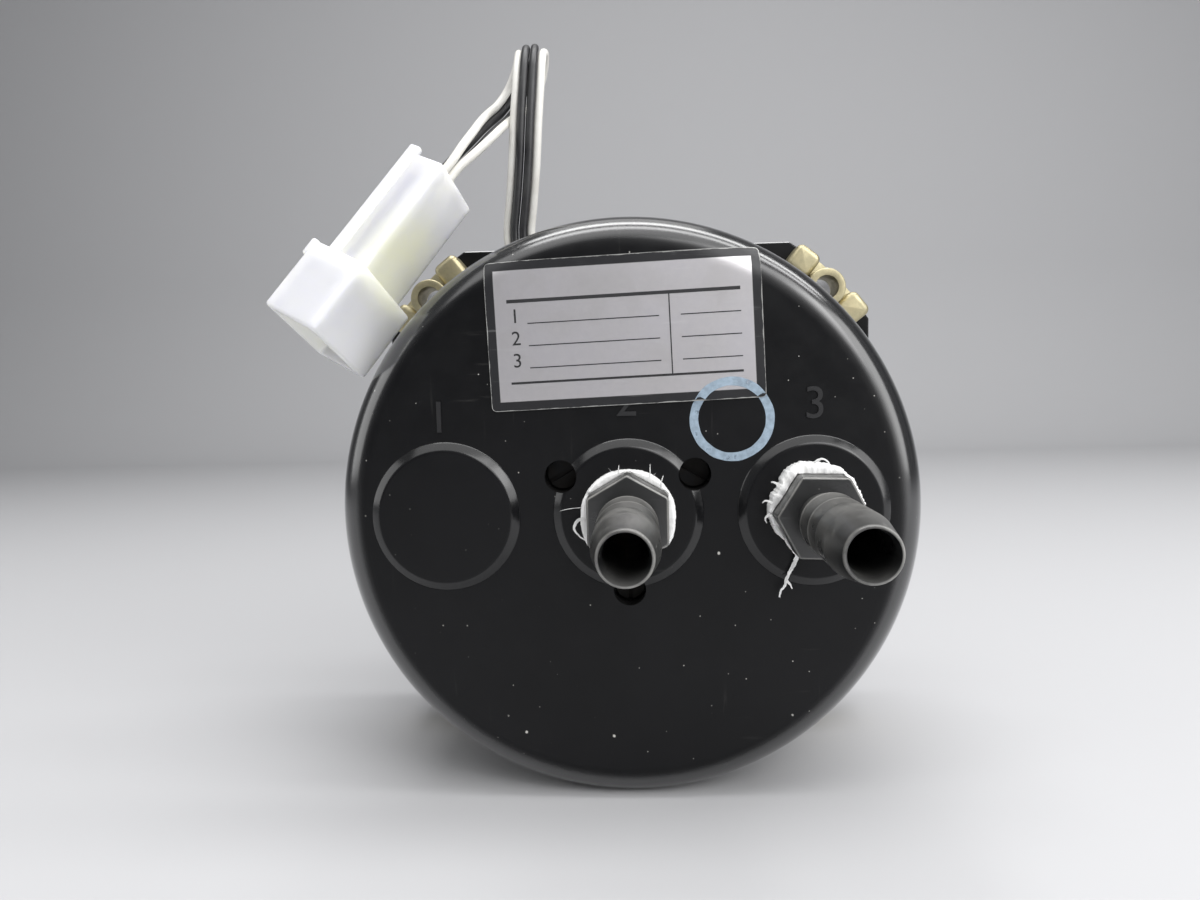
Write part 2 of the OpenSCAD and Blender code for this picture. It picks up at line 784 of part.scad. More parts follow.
module capsule_sheet_section(hole_r) {
    steps = [for (i = [0:sheet_points]) i / sheet_points];
    low = [for (t = steps) [sheet_radius(t), sheet_lift(t)]];
    high = [for (i = [0:sheet_points])
        let (t = 1 - i / sheet_points) [sheet_radius(t), sheet_lift(t) + capsule_sheet]];
    flat = capsule_half - capsule_sheet - corrugation_h;
    polygon(concat([[hole_r, flat]], low, high, [[hole_r, flat + capsule_sheet]]));
}

module capsule_rear() {
    color("#c48a4a") translate([0, capsule_rim_y, 0]) turned() capsule_sheet_section(nipple_bore_r);
}

module capsule_front() {
    color("#c48a4a") translate([0, capsule_rim_y, 0]) mirror([0, 1, 0]) turned() capsule_sheet_section(0);
}

nipple_bore_r = 1.5;
nipple_r = 2.6;

module capsule_stud() {
    foot_r = 2.4;
    pin_r = 0.7;
    color("#c9ccd1") {
        rod([0, 0], stud_seat_y - stud_foot_t, stud_seat_y, foot_r);
        rod([0, 0], stud_tip_y, stud_seat_y - fit, pin_r);
    }
}

spigot_r = 1.2;

module mechanism_base() {
    hub_wall = 4;
    leg_w = 7;
    color("#9a9ea4") difference() {
        union() {
            plate(base_y, base_rear) {
                circle(base_screw_r + hub_wall);
                for (a = pillar_angles) rotate(a) {
                    translate([0, -leg_w / 2]) square([pillar_r, leg_w]);
                    translate([pillar_r, 0]) circle(leg_w / 2);
                }
            }
            rod([0, 0], capsule_rim_y + capsule_flat, base_y + cut, nipple_r);
        }
        rod([0, 0], capsule_rim_y, base_rear + cut, nipple_bore_r);
        for (a = pillar_angles) rod(on_circle(pillar_r, a), base_y - cut, base_rear + cut, spigot_r + fit);
        for (a = base_screw_angles) {
            rod(on_circle(base_screw_r, a), base_y - cut, base_rear + cut, base_screw_shank_r + fit);
        }
    }
}

module base_posts() {
    color("#c8a94e") for (a = pillar_angles) {
        at = on_circle(pillar_r, a);
        difference() {
            rod(at, plate2_rear, base_y, post_d / 2);
            rod(at, plate2_rear - cut, plate2_rear + stud_l + cut, small_screw_r + fit);
        }
        rod(at, base_y - fit, base_rear, spigot_r);
    }
}

module base_gasket() {
    gasket_wall = 3;
    gasket_room = 0.4;
    color("#2a2a2a") difference() {
        tube([0, 0], base_rear, pad_y, base_screw_r + gasket_wall, thread_d / 2 + gasket_room);
        for (a = base_screw_angles) {
            rod(on_circle(base_screw_r, a), base_rear - cut, pad_y + cut, base_screw_shank_r + fit);
        }
    }
}

module base_screws() {
    slot_w = 0.6;
    seat_y = rear_y - screw_recess_depth;
    color("#7d8187") for (a = base_screw_angles) {
        at = on_circle(base_screw_r, a);
        difference() {
            union() {
                rod(at, seat_y, seat_y + base_screw_head_t, base_screw_head_r);
                rod(at, base_y, seat_y + fit, base_screw_shank_r);
            }
            translate([at[0], seat_y + base_screw_head_t, at[1]]) rotate([0, a, 0]) {
                cube([2 * (base_screw_head_r + cut), base_screw_head_t, slot_w], center = true);
            }
        }
    }
}

// Fitting levels, from the thread's inner end to the tip
thread_short = 0.4;
thread_y = pad_y + thread_short;
hex_y = boss_y + tape_t;
hex_front = hex_y + hex_t;
neck_l = 3.5;
barb_count = 3;
barb_crest = 0.6;
barb_step = 0.5;
first_barb_y = hex_front + neck_l;
land_y = first_barb_y + (barb_count - 1) * barb_pitch;
fitting_tip = land_y + barb_land + tip_l;

// Hose barb fitting with its hexagon turned by hex_turn
module barb_fitting(at, hex_turn) {
    stem_r = stem_d / 2;
    barb_r = barb_d / 2;
    lip = 0.4;
    teeth = [for (k = [0:barb_count - 1]) let (y = first_barb_y + k * barb_pitch) each [
        [stem_r, y - barb_step], [barb_r, y], [barb_r, y + (k < barb_count - 1 ? barb_crest : barb_land)]]];
    outside = concat([[thread_d / 2, thread_y], [thread_d / 2, hex_y + cut], [stem_r, hex_y + cut]],
        teeth, [[tip_d / 2, fitting_tip - lip], [tip_d / 2 - lip, fitting_tip]]);
    difference() {
        translate([at[0], 0, at[1]]) {
            turned() polygon(concat([[0, thread_y]], outside, [[0, fitting_tip]]));
            plate(hex_y, hex_front) rotate(hex_turn) circle(r = hex_af / 2 / cos(30), $fn = 6);
        }
        rod(at, thread_y - cut, fitting_tip + cut, bore_d / 2);
    }
}

module pitot_fitting() {
    color("#232528") barb_fitting(pitot_at, 30);
}

module static_fitting() {
    color("#232528") barb_fitting(static_at, 2);
}

module pitot_thread_tape() {
    color("#f1f1ee") tube(pitot_at, boss_y, hex_y, tape_d / 2, thread_d / 2 + fit);
}

module static_thread_tape() {
    color("#f1f1ee") tube(static_at, boss_y, hex_y, tape_d / 2, thread_d / 2 + fit);
}

// Foil plate that lies on the rear face and bends over its rounded edge
module data_plate() {
    label_corner = 0.6;
    color("#c4c4c2") intersection() {
        difference() {
            turned() case_section(label_t);
            turned() case_section(0);
        }
        translate([0, 0, label_z]) rotate([0, label_turn, 0]) {
            plate(rear_y - rear_round, rear_y + 2 * label_t) mirror([1, 0]) round_rect(label_w, label_h, label_corner);
        }
    }
}

// Spring clip with a threaded barrel, at angle a round the flange
module panel_nut(a) {
    strip_lap = 0.4;
    strip_in = bolt_r - nut_barrel_d / 2 - strip_lap;
    strip_out = corner_d / 2;
    strip_half = lug_angle + 2.4;
    lug_w = 3.6;
    lug_lap = 1;
    lug_in = bolt_r - lug_lap;
    lug_set = 0.3;
    lug_out = strip_out - lug_set;
    at = [bolt_r, 0];
    rotate([0, -a, 0]) difference() {
        union() {
            plate(flange_t, flange_t + clip_t) intersection() {
                difference() {
                    circle(strip_out);
                    circle(strip_in);
                }
                wedge(strip_out, -strip_half, strip_half);
            }
            rod(at, flange_t, flange_t + nut_barrel_h, nut_barrel_d / 2);
            for (side = [-1, 1]) rotate([0, side * lug_angle, 0]) plate(flange_t, flange_t + lug_h) {
                translate([lug_in, -lug_w / 2]) square([lug_out - lug_in - lug_w / 2, lug_w]);
                translate([lug_out - lug_w / 2, 0]) circle(lug_w / 2);
            }
        }
        rod(at, flange_t - cut, flange_t + nut_barrel_h + cut, bolt_hole_d / 2);
        rod([0, 0], 0, rear_y, case_r + fit);
    }
}

module mounting_nuts() {
    color("#b08d3c") for (a = bolt_angles) panel_nut(a);
}

module lead_grommet() {
    lip = 1.2;
    lip_out_t = 1.5;
    lip_in_t = inner_r - seat_r - 2 * fit;
    color("#1d1d1f") difference() {
        lead_hole(inner_r - lip_in_t, case_r + lip_out_t, grommet_d / 2 + lip);
        rotate([-90, 0, 0]) tube_wall();
    }
}

// The barrel's own wall, for seating the grommet's two lips, with the hole left for its neck
module tube_wall() {
    difference() {
        cylinder(h = rear_y, r = case_r + fit);
        translate([0, 0, -cut]) cylinder(h = rear_y + 2 * cut, r = inner_r - fit);
        rotate([90, 0, 0]) lead_hole(inner_r - case_wall, case_r + case_wall, grommet_d / 2 - fit);
    }
}

// Lead tubes: each ring of the tube is set square to the route
function unit(v) = v / norm(v);
route_last = len(lead_route) - 1;
function route_tangent(i) = unit(lead_route[min(i + 1, route_last)] - lead_route[max(i - 1, 0)]);
function route_side(i) = let (t = route_tangent(i), x = [1, 0, 0]) unit(x - (x * t) * t);
function route_up(i) = cross(route_tangent(i), route_side(i));
function fan(i) = min(1, max(0, (i - lead_fan_from) / (lead_fan_to - lead_fan_from)));
function lead_point(k, i) =
    let (
        t = fan(i),
        across = lead_start[k][0] + (lead_end[k][0] - lead_start[k][0]) * t * t + lead_bow[k] * sin(180 * t),
        above = lead_start[k][1] + (lead_end[k][1] - lead_start[k][1]) * (1 - (1 - t) * (1 - t))
    )
    lead_route[i] + route_side(i) * across + route_up(i) * above;

// One lead as a tube of eight-sided rings
module lead(k) {
    path = [for (i = [0:route_last]) lead_point(k, i)];
    sides = lead_sides;
    points = [for (i = [0:route_last]) let (
        t = unit(path[min(i + 1, route_last)] - path[max(i - 1, 0)]),
        x = [1, 0, 0],
        s = unit(x - (x * t) * t),
        u = cross(t, s)
    ) for (j = [0:sides - 1]) path[i] + lead_d / 2 * (s * cos(360 * j / sides) + u * sin(360 * j / sides))];
    skin = [for (i = [0:route_last - 1], j = [0:sides - 1])
        let (n = (j + 1) % sides) [i * sides + j, (i + 1) * sides + j, (i + 1) * sides + n, i * sides + n]];
    start_cap = [for (j = [0:sides - 1]) j];
    end_cap = [for (j = [0:sides - 1]) route_last * sides + sides - 1 - j];
    polyhedron(points, concat(skin, [start_cap, end_cap]));
}

module lead_white_a() {
    color("#ecebe6") lead(0);
}

module lead_black_a() {
    color("#1a1b1d") lead(1);
}

module lead_black_b() {
    color("#1a1b1d") lead(2);
}

module lead_white_b() {
    color("#ecebe6") lead(3);
}

// Places its children in the connector's frame: wires enter at z = 0, the mouth is at +z
module connector_place() {
    translate(conn_at) rotate(conn_turn) rotate([0, 0, conn_roll]) children();
}

contact_r = 1.55;
conn_l = conn_body_l + conn_shroud_l;
cavity_r = contact_r + 2 * fit;
socket_z = conn_body_l + socket_floor;

module connector_housing() {
    color("#eceadf") connector_place() difference() {
        union() {
            linear_extrude(conn_body_l + fit) round_rect(conn_body_a, conn_body_b, conn_edge);
            translate([0, 0, conn_body_l]) {
                linear_extrude(conn_shroud_l) round_rect(conn_shroud_a, conn_shroud_b, conn_edge);
            }
        }
        translate([0, 0, socket_z]) linear_extrude(conn_l) {
            round_rect(conn_shroud_a - 2 * conn_wall, conn_shroud_b - 2 * conn_wall, conn_edge / 2);
        }
        translate([0, 0, -cut]) linear_extrude(contact_room + cut) {
            round_rect(conn_body_a - 2 * conn_wall, conn_body_b - 2 * conn_wall, conn_edge / 2);
        }
        for (side = [-1, 1]) translate([0, side * contact_pitch / 2, 0]) {
            cylinder(h = socket_z + cut, r = cavity_r);
        }
    }
}

module connector_contacts() {
    bore_r = 0.8;
    color("#c9b27a") connector_place() for (side = [-1, 1]) translate([0, side * contact_pitch / 2, contact_room]) {
        difference() {
            cylinder(h = socket_z - contact_room, r = contact_r);
            translate([0, 0, socket_z / 2]) cylinder(h = socket_z, r = bore_r);
        }
    }
}

case();
bezel_ring();
cover_glass();
glass_gasket();
light_ring();
lamp_board();
lamp_bulbs();
dial_plate();
dial_screws();
dial_spacers();
pointer();
handstaff();
hairspring();
hairspring_collet();
hairspring_stud();
sector_gear();
front_plate();
rear_plate();
plate_pillars();
plate_screws();
jewel_bearings();
rocker_bracket();
rocking_shaft();
capsule_stud();
capsule_front();
capsule_rear();
mechanism_base();
base_posts();
base_gasket();
base_screws();
pitot_fitting();
static_fitting();
pitot_thread_tape();
static_thread_tape();
data_plate();
mounting_nuts();
lead_grommet();
lead_white_a();
lead_black_a();
lead_black_b();
lead_white_b();
connector_housing();
connector_contacts();
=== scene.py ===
"""Dresses the panel-mounted airspeed indicator: finishes, leads, tape, plate, dial and studio."""

from __future__ import annotations

import json
import logging
import math
import random
from dataclasses import dataclass
from enum import Enum
from typing import Any, Iterable, Sequence

import bmesh
import bpy
from mathutils import Matrix, Vector, noise

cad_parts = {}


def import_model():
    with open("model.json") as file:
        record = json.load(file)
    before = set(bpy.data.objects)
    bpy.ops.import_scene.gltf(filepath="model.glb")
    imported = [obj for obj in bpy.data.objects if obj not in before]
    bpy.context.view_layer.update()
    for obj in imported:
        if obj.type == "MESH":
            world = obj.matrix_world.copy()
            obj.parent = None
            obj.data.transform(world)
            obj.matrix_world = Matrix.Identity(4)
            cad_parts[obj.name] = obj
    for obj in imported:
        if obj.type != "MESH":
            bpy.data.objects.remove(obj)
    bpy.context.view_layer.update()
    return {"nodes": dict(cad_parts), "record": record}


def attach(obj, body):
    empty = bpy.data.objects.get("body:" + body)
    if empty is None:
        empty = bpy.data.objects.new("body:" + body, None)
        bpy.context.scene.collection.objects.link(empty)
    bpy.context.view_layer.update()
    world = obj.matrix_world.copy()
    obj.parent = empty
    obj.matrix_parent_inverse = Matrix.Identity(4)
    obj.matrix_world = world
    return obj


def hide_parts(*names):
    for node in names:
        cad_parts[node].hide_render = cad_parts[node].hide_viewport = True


LOG = logging.getLogger("airspeed_indicator")
MM = 0.001
ROOT = "instrument"

Point2 = tuple[float, float]
Point3 = tuple[float, float, float]
Colour = tuple[float, float, float]
Ring = list[bmesh.types.BMVert]


class Direction(Enum):
    """Ways in which a brushed or drawn metal shows its lines."""

    NONE = (1.0, 1.0, 1.0)
    ALONG_X = (0.04, 1.0, 1.0)


# Node trees


class NodeBuilder:
    """Adds nodes to one tree and fills their inputs."""

    def __init__(self, tree: bpy.types.NodeTree) -> None:
        """Works on that tree."""
        self.tree = tree

    def node(self, kind: str, **settings: Any) -> Any:
        """Adds a node and sets its properties."""
        made = self.tree.nodes.new(kind)
        for key, value in settings.items():
            setattr(made, key, value)
        return made

    def put(self, socket: Any, value: Any) -> None:
        """Links another socket to an input, or sets a plain value on it."""
        if isinstance(value, bpy.types.NodeSocket):
            self.tree.links.new(value, socket)
        else:
            socket.default_value = value

    def wire(self, node: Any, **inputs: Any) -> Any:
        """Fills a node's inputs, named with underscores for spaces, and returns the node."""
        for key, value in inputs.items():
            self.put(node.inputs[key.replace("_", " ")], value)
        return node

    def math(self, operation: str, first: Any, second: Any = 0.0) -> Any:
        """Adds a math node on two sockets or numbers and returns its result."""
        made = self.node("ShaderNodeMath", operation=operation)
        self.put(made.inputs[0], first)
        self.put(made.inputs[1], second)
        return made.outputs[0]


class GroupBuilder(NodeBuilder):
    """Builds one node group with named sockets."""

    def __init__(self, name: str, kind: str = "ShaderNodeTree") -> None:
        """Starts an empty group of that name."""
        super().__init__(bpy.data.node_groups.new(name, kind))
        self.entry = self.node("NodeGroupInput")
        self.exit = self.node("NodeGroupOutput")

    def take(self, name: str, kind: str = "NodeSocketFloat") -> Any:
        """Adds an input socket and returns its end inside the group."""
        self.tree.interface.new_socket(name, in_out="INPUT", socket_type=kind)
        return self.entry.outputs[name]

    def give(self, name: str, source: Any, kind: str = "NodeSocketFloat") -> bpy.types.NodeTree:
        """Adds an output socket fed by source and returns the group."""
        self.tree.interface.new_socket(name, in_out="OUTPUT", socket_type=kind)
        self.put(self.exit.inputs[name], source)
        return self.tree

    def scaled(self, vector: Any, stretch: Any) -> Any:
        """Multiplies two vectors part by part."""
        made = self.node("ShaderNodeVectorMath", operation="MULTIPLY")
        self.put(made.inputs[0], vector)
        self.put(made.inputs[1], stretch)
        return made.outputs[0]

    def noise(self, vector: Any, scale: Any, detail: float = 2.0, roughness: float = 0.5) -> Any:
        """Adds a noise texture and returns its value."""
        made = self.node("ShaderNodeTexNoise")
        self.wire(made, Vector=vector, Scale=scale, Detail=detail, Roughness=roughness)
        return made.outputs[0]

    def ramp(self, value: Any, low: Any, high: Any) -> Any:
        """Maps value smoothly from the span low to high onto 0 to 1."""
        made = self.node("ShaderNodeMapRange", interpolation_type="SMOOTHSTEP")
        return self.wire(made, Value=value, From_Min=low, From_Max=high).outputs[0]


def speckle_group() -> bpy.types.NodeTree:
    """Makes the group that scatters dust specks.

    Returns:
        A group with Vector, Scale, Amount and Size in, and Mask out.
    """
    group = GroupBuilder("dust specks")
    vector = group.take("Vector", "NodeSocketVector")
    scale, amount, size = (group.take(name) for name in ("Scale", "Amount", "Size"))
    warp = group.noise(vector, 2500.0)
    cells = group.wire(group.node("ShaderNodeTexVoronoi", feature="F1"), Vector=vector, Scale=scale)
    split = group.wire(group.node("ShaderNodeSeparateColor"), Color=cells.outputs["Color"])
    chosen = group.math("LESS_THAN", split.outputs[0], amount)
    varied = group.math("MULTIPLY", size, group.math("ADD", split.outputs[1], 0.3))
    ragged = group.math("ADD", cells.outputs["Distance"], group.math("MULTIPLY", warp, 0.12))
    inner = group.math("MULTIPLY", varied, 0.6)
    spot = group.math("SUBTRACT", 1.0, group.ramp(ragged, inner, varied))
    return group.give("Mask", group.math("MULTIPLY", spot, chosen))


def scuff_group() -> bpy.types.NodeTree:
    """Makes the group that draws fine rubbed lines and worn patches.

    Returns:
        A group with Vector, Scale, Stretch and Amount in, and Mask out.
    """
    group = GroupBuilder("scuffs")
    vector = group.take("Vector", "NodeSocketVector")
    scale = group.take("Scale")
    stretch = group.take("Stretch", "NodeSocketVector")
    amount = group.take("Amount")
    streak = group.ramp(group.noise(group.scaled(vector, stretch), scale, 4.0), 0.63, 0.74)
    place = group.ramp(group.noise(vector, 45.0, 3.0), 0.48, 0.7)
    return group.give("Mask", group.math("MULTIPLY", group.math("MULTIPLY", streak, place), amount))


def mottle_group() -> bpy.types.NodeTree:
    """Makes the group for slow, cloudy changes of tone.

    Returns:
        A group with Vector and Scale in, and Value from 0 to 1 out.
    """
    group = GroupBuilder("mottle")
    vector = group.take("Vector", "NodeSocketVector")
    clouds = group.noise(vector, group.take("Scale"), 5.0, 0.6)
    return group.give("Value", group.ramp(clouds, 0.3, 0.7))


def grain_group() -> bpy.types.NodeTree:
    """Makes the group for the fine relief of a moulded or drawn surface.

    Returns:
        A group with Vector, Scale and Stretch in, and Height out.
    """
    group = GroupBuilder("surface grain")
    vector = group.take("Vector", "NodeSocketVector")
    scale = group.take("Scale")
    stretch = group.take("Stretch", "NodeSocketVector")
    return group.give("Height", group.noise(group.scaled(vector, stretch), scale))


@dataclass(frozen=True)
class SharedGroups:
    """The shader groups that the finishes share."""

    specks: bpy.types.NodeTree
    scuffs: bpy.types.NodeTree
    mottle: bpy.types.NodeTree
    grain: bpy.types.NodeTree

    @classmethod
    def build(cls) -> "SharedGroups":
        """Builds every group once."""
        return cls(speckle_group(), scuff_group(), mottle_group(), grain_group())


class Shade(NodeBuilder):
    """One material's node tree, with the Principled shader ready."""

    def __init__(self, name: str) -> None:
        """Starts a material with a Principled shader and Object coordinates."""
        self.material = bpy.data.materials.new(name)
        self.material.use_nodes = True
        super().__init__(self.material.node_tree)
        self.bsdf = self.tree.nodes["Principled BSDF"]
        coords = self.node("ShaderNodeTexCoord")
        self.place = coords.outputs["Object"]
        self.uv = coords.outputs["UV"]
        self.normal = coords.outputs["Normal"]

    def feed(self, **inputs: Any) -> None:
        """Fills the shader's own inputs, named with underscores for spaces."""
        self.wire(self.bsdf, **inputs)

    def shared(self, group: bpy.types.NodeTree, **values: Any) -> Any:
        """Places a shared group on Object coordinates and returns its first output.

        Args:
            group: the group.
            **values: plain values for its inputs, by name.

        Returns:
            The group's first output socket.
        """
        made = self.node("ShaderNodeGroup", node_tree=group)
        return self.wire(made, Vector=self.place, **values).outputs[0]

    def mix(self, factor: Any, first: Any, second: Any) -> Any:
        """Mixes two colours by a mask.

        Args:
            factor: socket that holds the mask.
            first: colour or socket where the mask is 0.
            second: colour or socket where the mask is 1.

        Returns:
            The mixed colour's socket.
        """
        made = self.node("ShaderNodeMix", data_type="RGBA")
        self.put(made.inputs[0], factor)
        for socket, value in ((made.inputs[6], first), (made.inputs[7], second)):
            self.put(socket, (*value, 1.0) if isinstance(value, tuple) else value)
        return made.outputs[2]

    def span(self, value: Any, low: float, high: float, smooth: bool = False) -> Any:
        """Maps a mask from 0..1 onto low..high, or from that span onto 0..1 when smooth is set."""
        kind = "SMOOTHSTEP" if smooth else "LINEAR"
        made = self.node("ShaderNodeMapRange", interpolation_type=kind)
        names = ("From_Min", "From_Max") if smooth else ("To_Min", "To_Max")
        return self.wire(made, Value=value, **dict(zip(names, (low, high)))).outputs[0]

    def bump(self, height: Any, depth_mm: float) -> Any:
        """Turns a height from 0 to 1 into a normal, for a relief of that depth."""
        made = self.node("ShaderNodeBump")
        return self.wire(made, Distance=depth_mm * MM, Height=height).outputs[0]

    def part(self, vector: Any, axis: int) -> Any:
        """One of a vector's three numbers."""
        return self.wire(self.node("ShaderNodeSeparateXYZ"), Vector=vector).outputs[axis]

    def upward(self) -> Any:
        """Mask of the faces that look up, where dust settles."""
        return self.span(self.part(self.normal, 2), 0.15, 0.95, smooth=True)

    def rearward(self) -> Any:
        """Mask of the flat faces that look to the rear."""
        return self.span(self.part(self.normal, 1), 0.9, 0.99, smooth=True)

    def near(self, centre: Point3, far_mm: float) -> Any:
        """Mask that fades from 1 at a place, in millimetres, to 0 at a distance from it."""
        apart = self.node("ShaderNodeVectorMath", operation="DISTANCE")
        self.put(apart.inputs[0], self.place)
        self.put(apart.inputs[1], [part * MM for part in centre])
        away = self.span(apart.outputs["Value"], 0.2 * far_mm * MM, far_mm * MM, smooth=True)
        return self.math("SUBTRACT", 1.0, away)

    def outside(self, radius_mm: float, fade_mm: float) -> Any:
        """Mask that rises from 0 to 1 at a distance from the case's axis."""
        sides = [self.part(self.place, axis) for axis in (0, 2)]
        squares = [self.math("MULTIPLY", side, side) for side in sides]
        reach = self.math("SQRT", self.math("ADD", *squares))
        return self.span(reach, radius_mm * MM, (radius_mm + fade_mm) * MM, smooth=True)


def per_mm(size_mm: float) -> float:
    """Texture scale whose pattern repeats about every size_mm."""
    return 1.0 / (size_mm * MM)


# Finishes


@dataclass(frozen=True)
class MouldedFinish:
    """Moulded plastic or rubber with grain, faint rubbed streaks and settled dust.

    Polish smooths the rounded faces, and coat is their clear gloss, near the case's axis and at its rim.
    """

    name: str
    colour: Colour
    rubbed: Colour
    roughness: float
    grain_mm: float = 0.22
    relief_mm: float = 0.005
    dust: float = 0.05
    scuffs: float = 0.5
    settled: float = 0.0
    polish: float = 0.0
    gloss: float = 0.42
    coat: Point2 = (0.0, 0.0)
    rim_from: float = 33.5
    edge_wear: float = 0.0
    dust_colour: Colour = (0.5, 0.49, 0.46)

    def build(self, groups: SharedGroups) -> bpy.types.Material:
        """Makes the material."""
        shade = Shade(self.name)
        cloud = shade.shared(groups.mottle, Scale=per_mm(16.0))
        haze = shade.shared(groups.mottle, Scale=per_mm(3.5))
        line = shade.shared(groups.scuffs, Scale=per_mm(1.3), Stretch=(0.09, 0.4, 1.0), Amount=self.scuffs)
        across = shade.shared(groups.scuffs, Scale=per_mm(1.1), Stretch=(1.0, 0.4, 0.07), Amount=self.scuffs)
        speck = shade.shared(groups.specks, Scale=per_mm(2.4), Amount=self.dust, Size=0.13)
        lint = shade.shared(groups.specks, Scale=per_mm(1.2), Amount=3.5 * self.dust, Size=0.11)
        grain = shade.shared(groups.grain, Scale=per_mm(self.grain_mm), Stretch=(1.0, 1.0, 1.0))
        rubs = shade.math("MAXIMUM", line, across)
        tone = shade.mix(shade.span(cloud, 0.0, 0.55), self.colour, self.rubbed)
        tone = shade.mix(shade.span(rubs, 0.0, 0.16), tone, self.dust_colour)
        film = shade.math("MULTIPLY", shade.upward(), shade.span(haze, 0.7 * self.settled, self.settled))
        tone = shade.mix(film, tone, self.dust_colour)
        # Marked edges are painted lighter: partly rubbed wear, partly painted highlight where the crests
        # catch the light.
        if self.edge_wear:
            edges = shade.node("ShaderNodeAttribute", attribute_name="rubbed")
            patchy = shade.span(haze, 0.3 * self.edge_wear, self.edge_wear)
            tone = shade.mix(shade.math("MULTIPLY", edges.outputs["Fac"], patchy), tone, self.dust_colour)
        dusty = shade.math("MAXIMUM", speck, lint)
        tone = shade.mix(dusty, tone, self.dust_colour)
        dull = shade.math("MAXIMUM", shade.math("MULTIPLY", dusty, 0.4), shade.math("MULTIPLY", film, 1.2))
        rough = shade.math("ADD", shade.span(haze, self.roughness - 0.04, self.roughness + 0.06), dull)
        flat = shade.rearward()
        rough = shade.math("ADD", rough, shade.span(flat, -self.polish, 0.0))
        shade.feed(Base_Color=tone, Roughness=rough, Normal=shade.bump(grain, self.relief_mm),
                   Specular_IOR_Level=self.gloss)
        if any(self.coat):
            rounded = shade.math("SUBTRACT", 1.0, flat)
            glossy = shade.span(shade.outside(self.rim_from, 2.5), *self.coat)
            shade.feed(Coat_Weight=shade.math("MULTIPLY", rounded, glossy))
            shade.feed(Coat_Roughness=0.18, Coat_IOR=1.75)
        return shade.material


@dataclass(frozen=True)
class MetalFinish:
    """Bare, plated or drawn metal with a brushed grain and dull patches."""

    name: str
    colour: Colour
    dull: Colour
    roughness: float
    lines: Direction = Direction.NONE
    grain_mm: float = 0.12
    relief_mm: float = 0.004
    tarnish: float = 0.5

    def build(self, groups: SharedGroups) -> bpy.types.Material:
        """Makes the material."""
        shade = Shade(self.name)
        grain = shade.shared(groups.grain, Scale=per_mm(self.grain_mm), Stretch=self.lines.value)
        cloud = shade.shared(groups.mottle, Scale=per_mm(2.6))
        line = shade.shared(groups.scuffs, Scale=per_mm(1.6), Stretch=(1.0, 0.3, 1.0), Amount=0.6)
        tone = shade.mix(shade.span(cloud, 0.0, self.tarnish), self.colour, self.dull)
        rough = shade.math("ADD", shade.span(cloud, self.roughness, self.roughness + 0.18),
                           shade.math("MULTIPLY", line, 0.15))
        shade.feed(Base_Color=tone, Roughness=rough, Normal=shade.bump(grain, self.relief_mm), Metallic=1.0)
        return shade.material


@dataclass(frozen=True)
class PaintFinish:
    """Matt or satin paint with a faint orange peel and a little dust."""

    name: str
    colour: Colour
    roughness: float
    dust: float = 0.02

    def build(self, groups: SharedGroups) -> bpy.types.Material:
        """Makes the material."""
        shade = Shade(self.name)
        cloud = shade.shared(groups.mottle, Scale=per_mm(7.0))
        peel = shade.shared(groups.grain, Scale=per_mm(0.35), Stretch=(1.0, 1.0, 1.0))
        speck = shade.shared(groups.specks, Scale=per_mm(1.9), Amount=self.dust, Size=0.1)
        darker = tuple(0.82 * part for part in self.colour)
        tone = shade.mix(cloud, self.colour, darker)
        tone = shade.mix(shade.span(speck, 0.0, 0.6), tone, (0.6, 0.59, 0.55))
        shade.feed(Base_Color=tone, Normal=shade.bump(peel, 0.006),
                   Roughness=shade.span(cloud, self.roughness, self.roughness + 0.08))
        return shade.material


@dataclass(frozen=True)
class ClearFinish:
    """Glass or clear plastic that lets lamp light through to what lies behind it."""

    name: str
    tint: Colour
    index: float
    roughness: float

    def build(self, groups: SharedGroups) -> bpy.types.Material:
        """Makes the material."""
        shade = Shade(self.name)
        haze = shade.shared(groups.mottle, Scale=per_mm(11.0))
        speck = shade.shared(groups.specks, Scale=per_mm(2.4), Amount=0.02, Size=0.06)
        rough = shade.math("ADD", shade.span(haze, self.roughness, self.roughness + 0.03),
                           shade.math("MULTIPLY", speck, 0.3))
        tint = (*self.tint, 1.0)
        shade.feed(Roughness=rough, Base_Color=tint, Transmission_Weight=1.0, IOR=self.index)
        through = shade.wire(shade.node("ShaderNodeBsdfTransparent"), Color=tint)
        pick = shade.node("ShaderNodeMixShader")
        shadow = shade.node("ShaderNodeLightPath").outputs["Is Shadow Ray"]
        for socket, source in zip(pick.inputs, (shadow, shade.bsdf.outputs[0], through.outputs[0])):
            shade.put(socket, source)
        shade.wire(shade.tree.nodes["Material Output"], Surface=pick.outputs[0])
        return shade.material


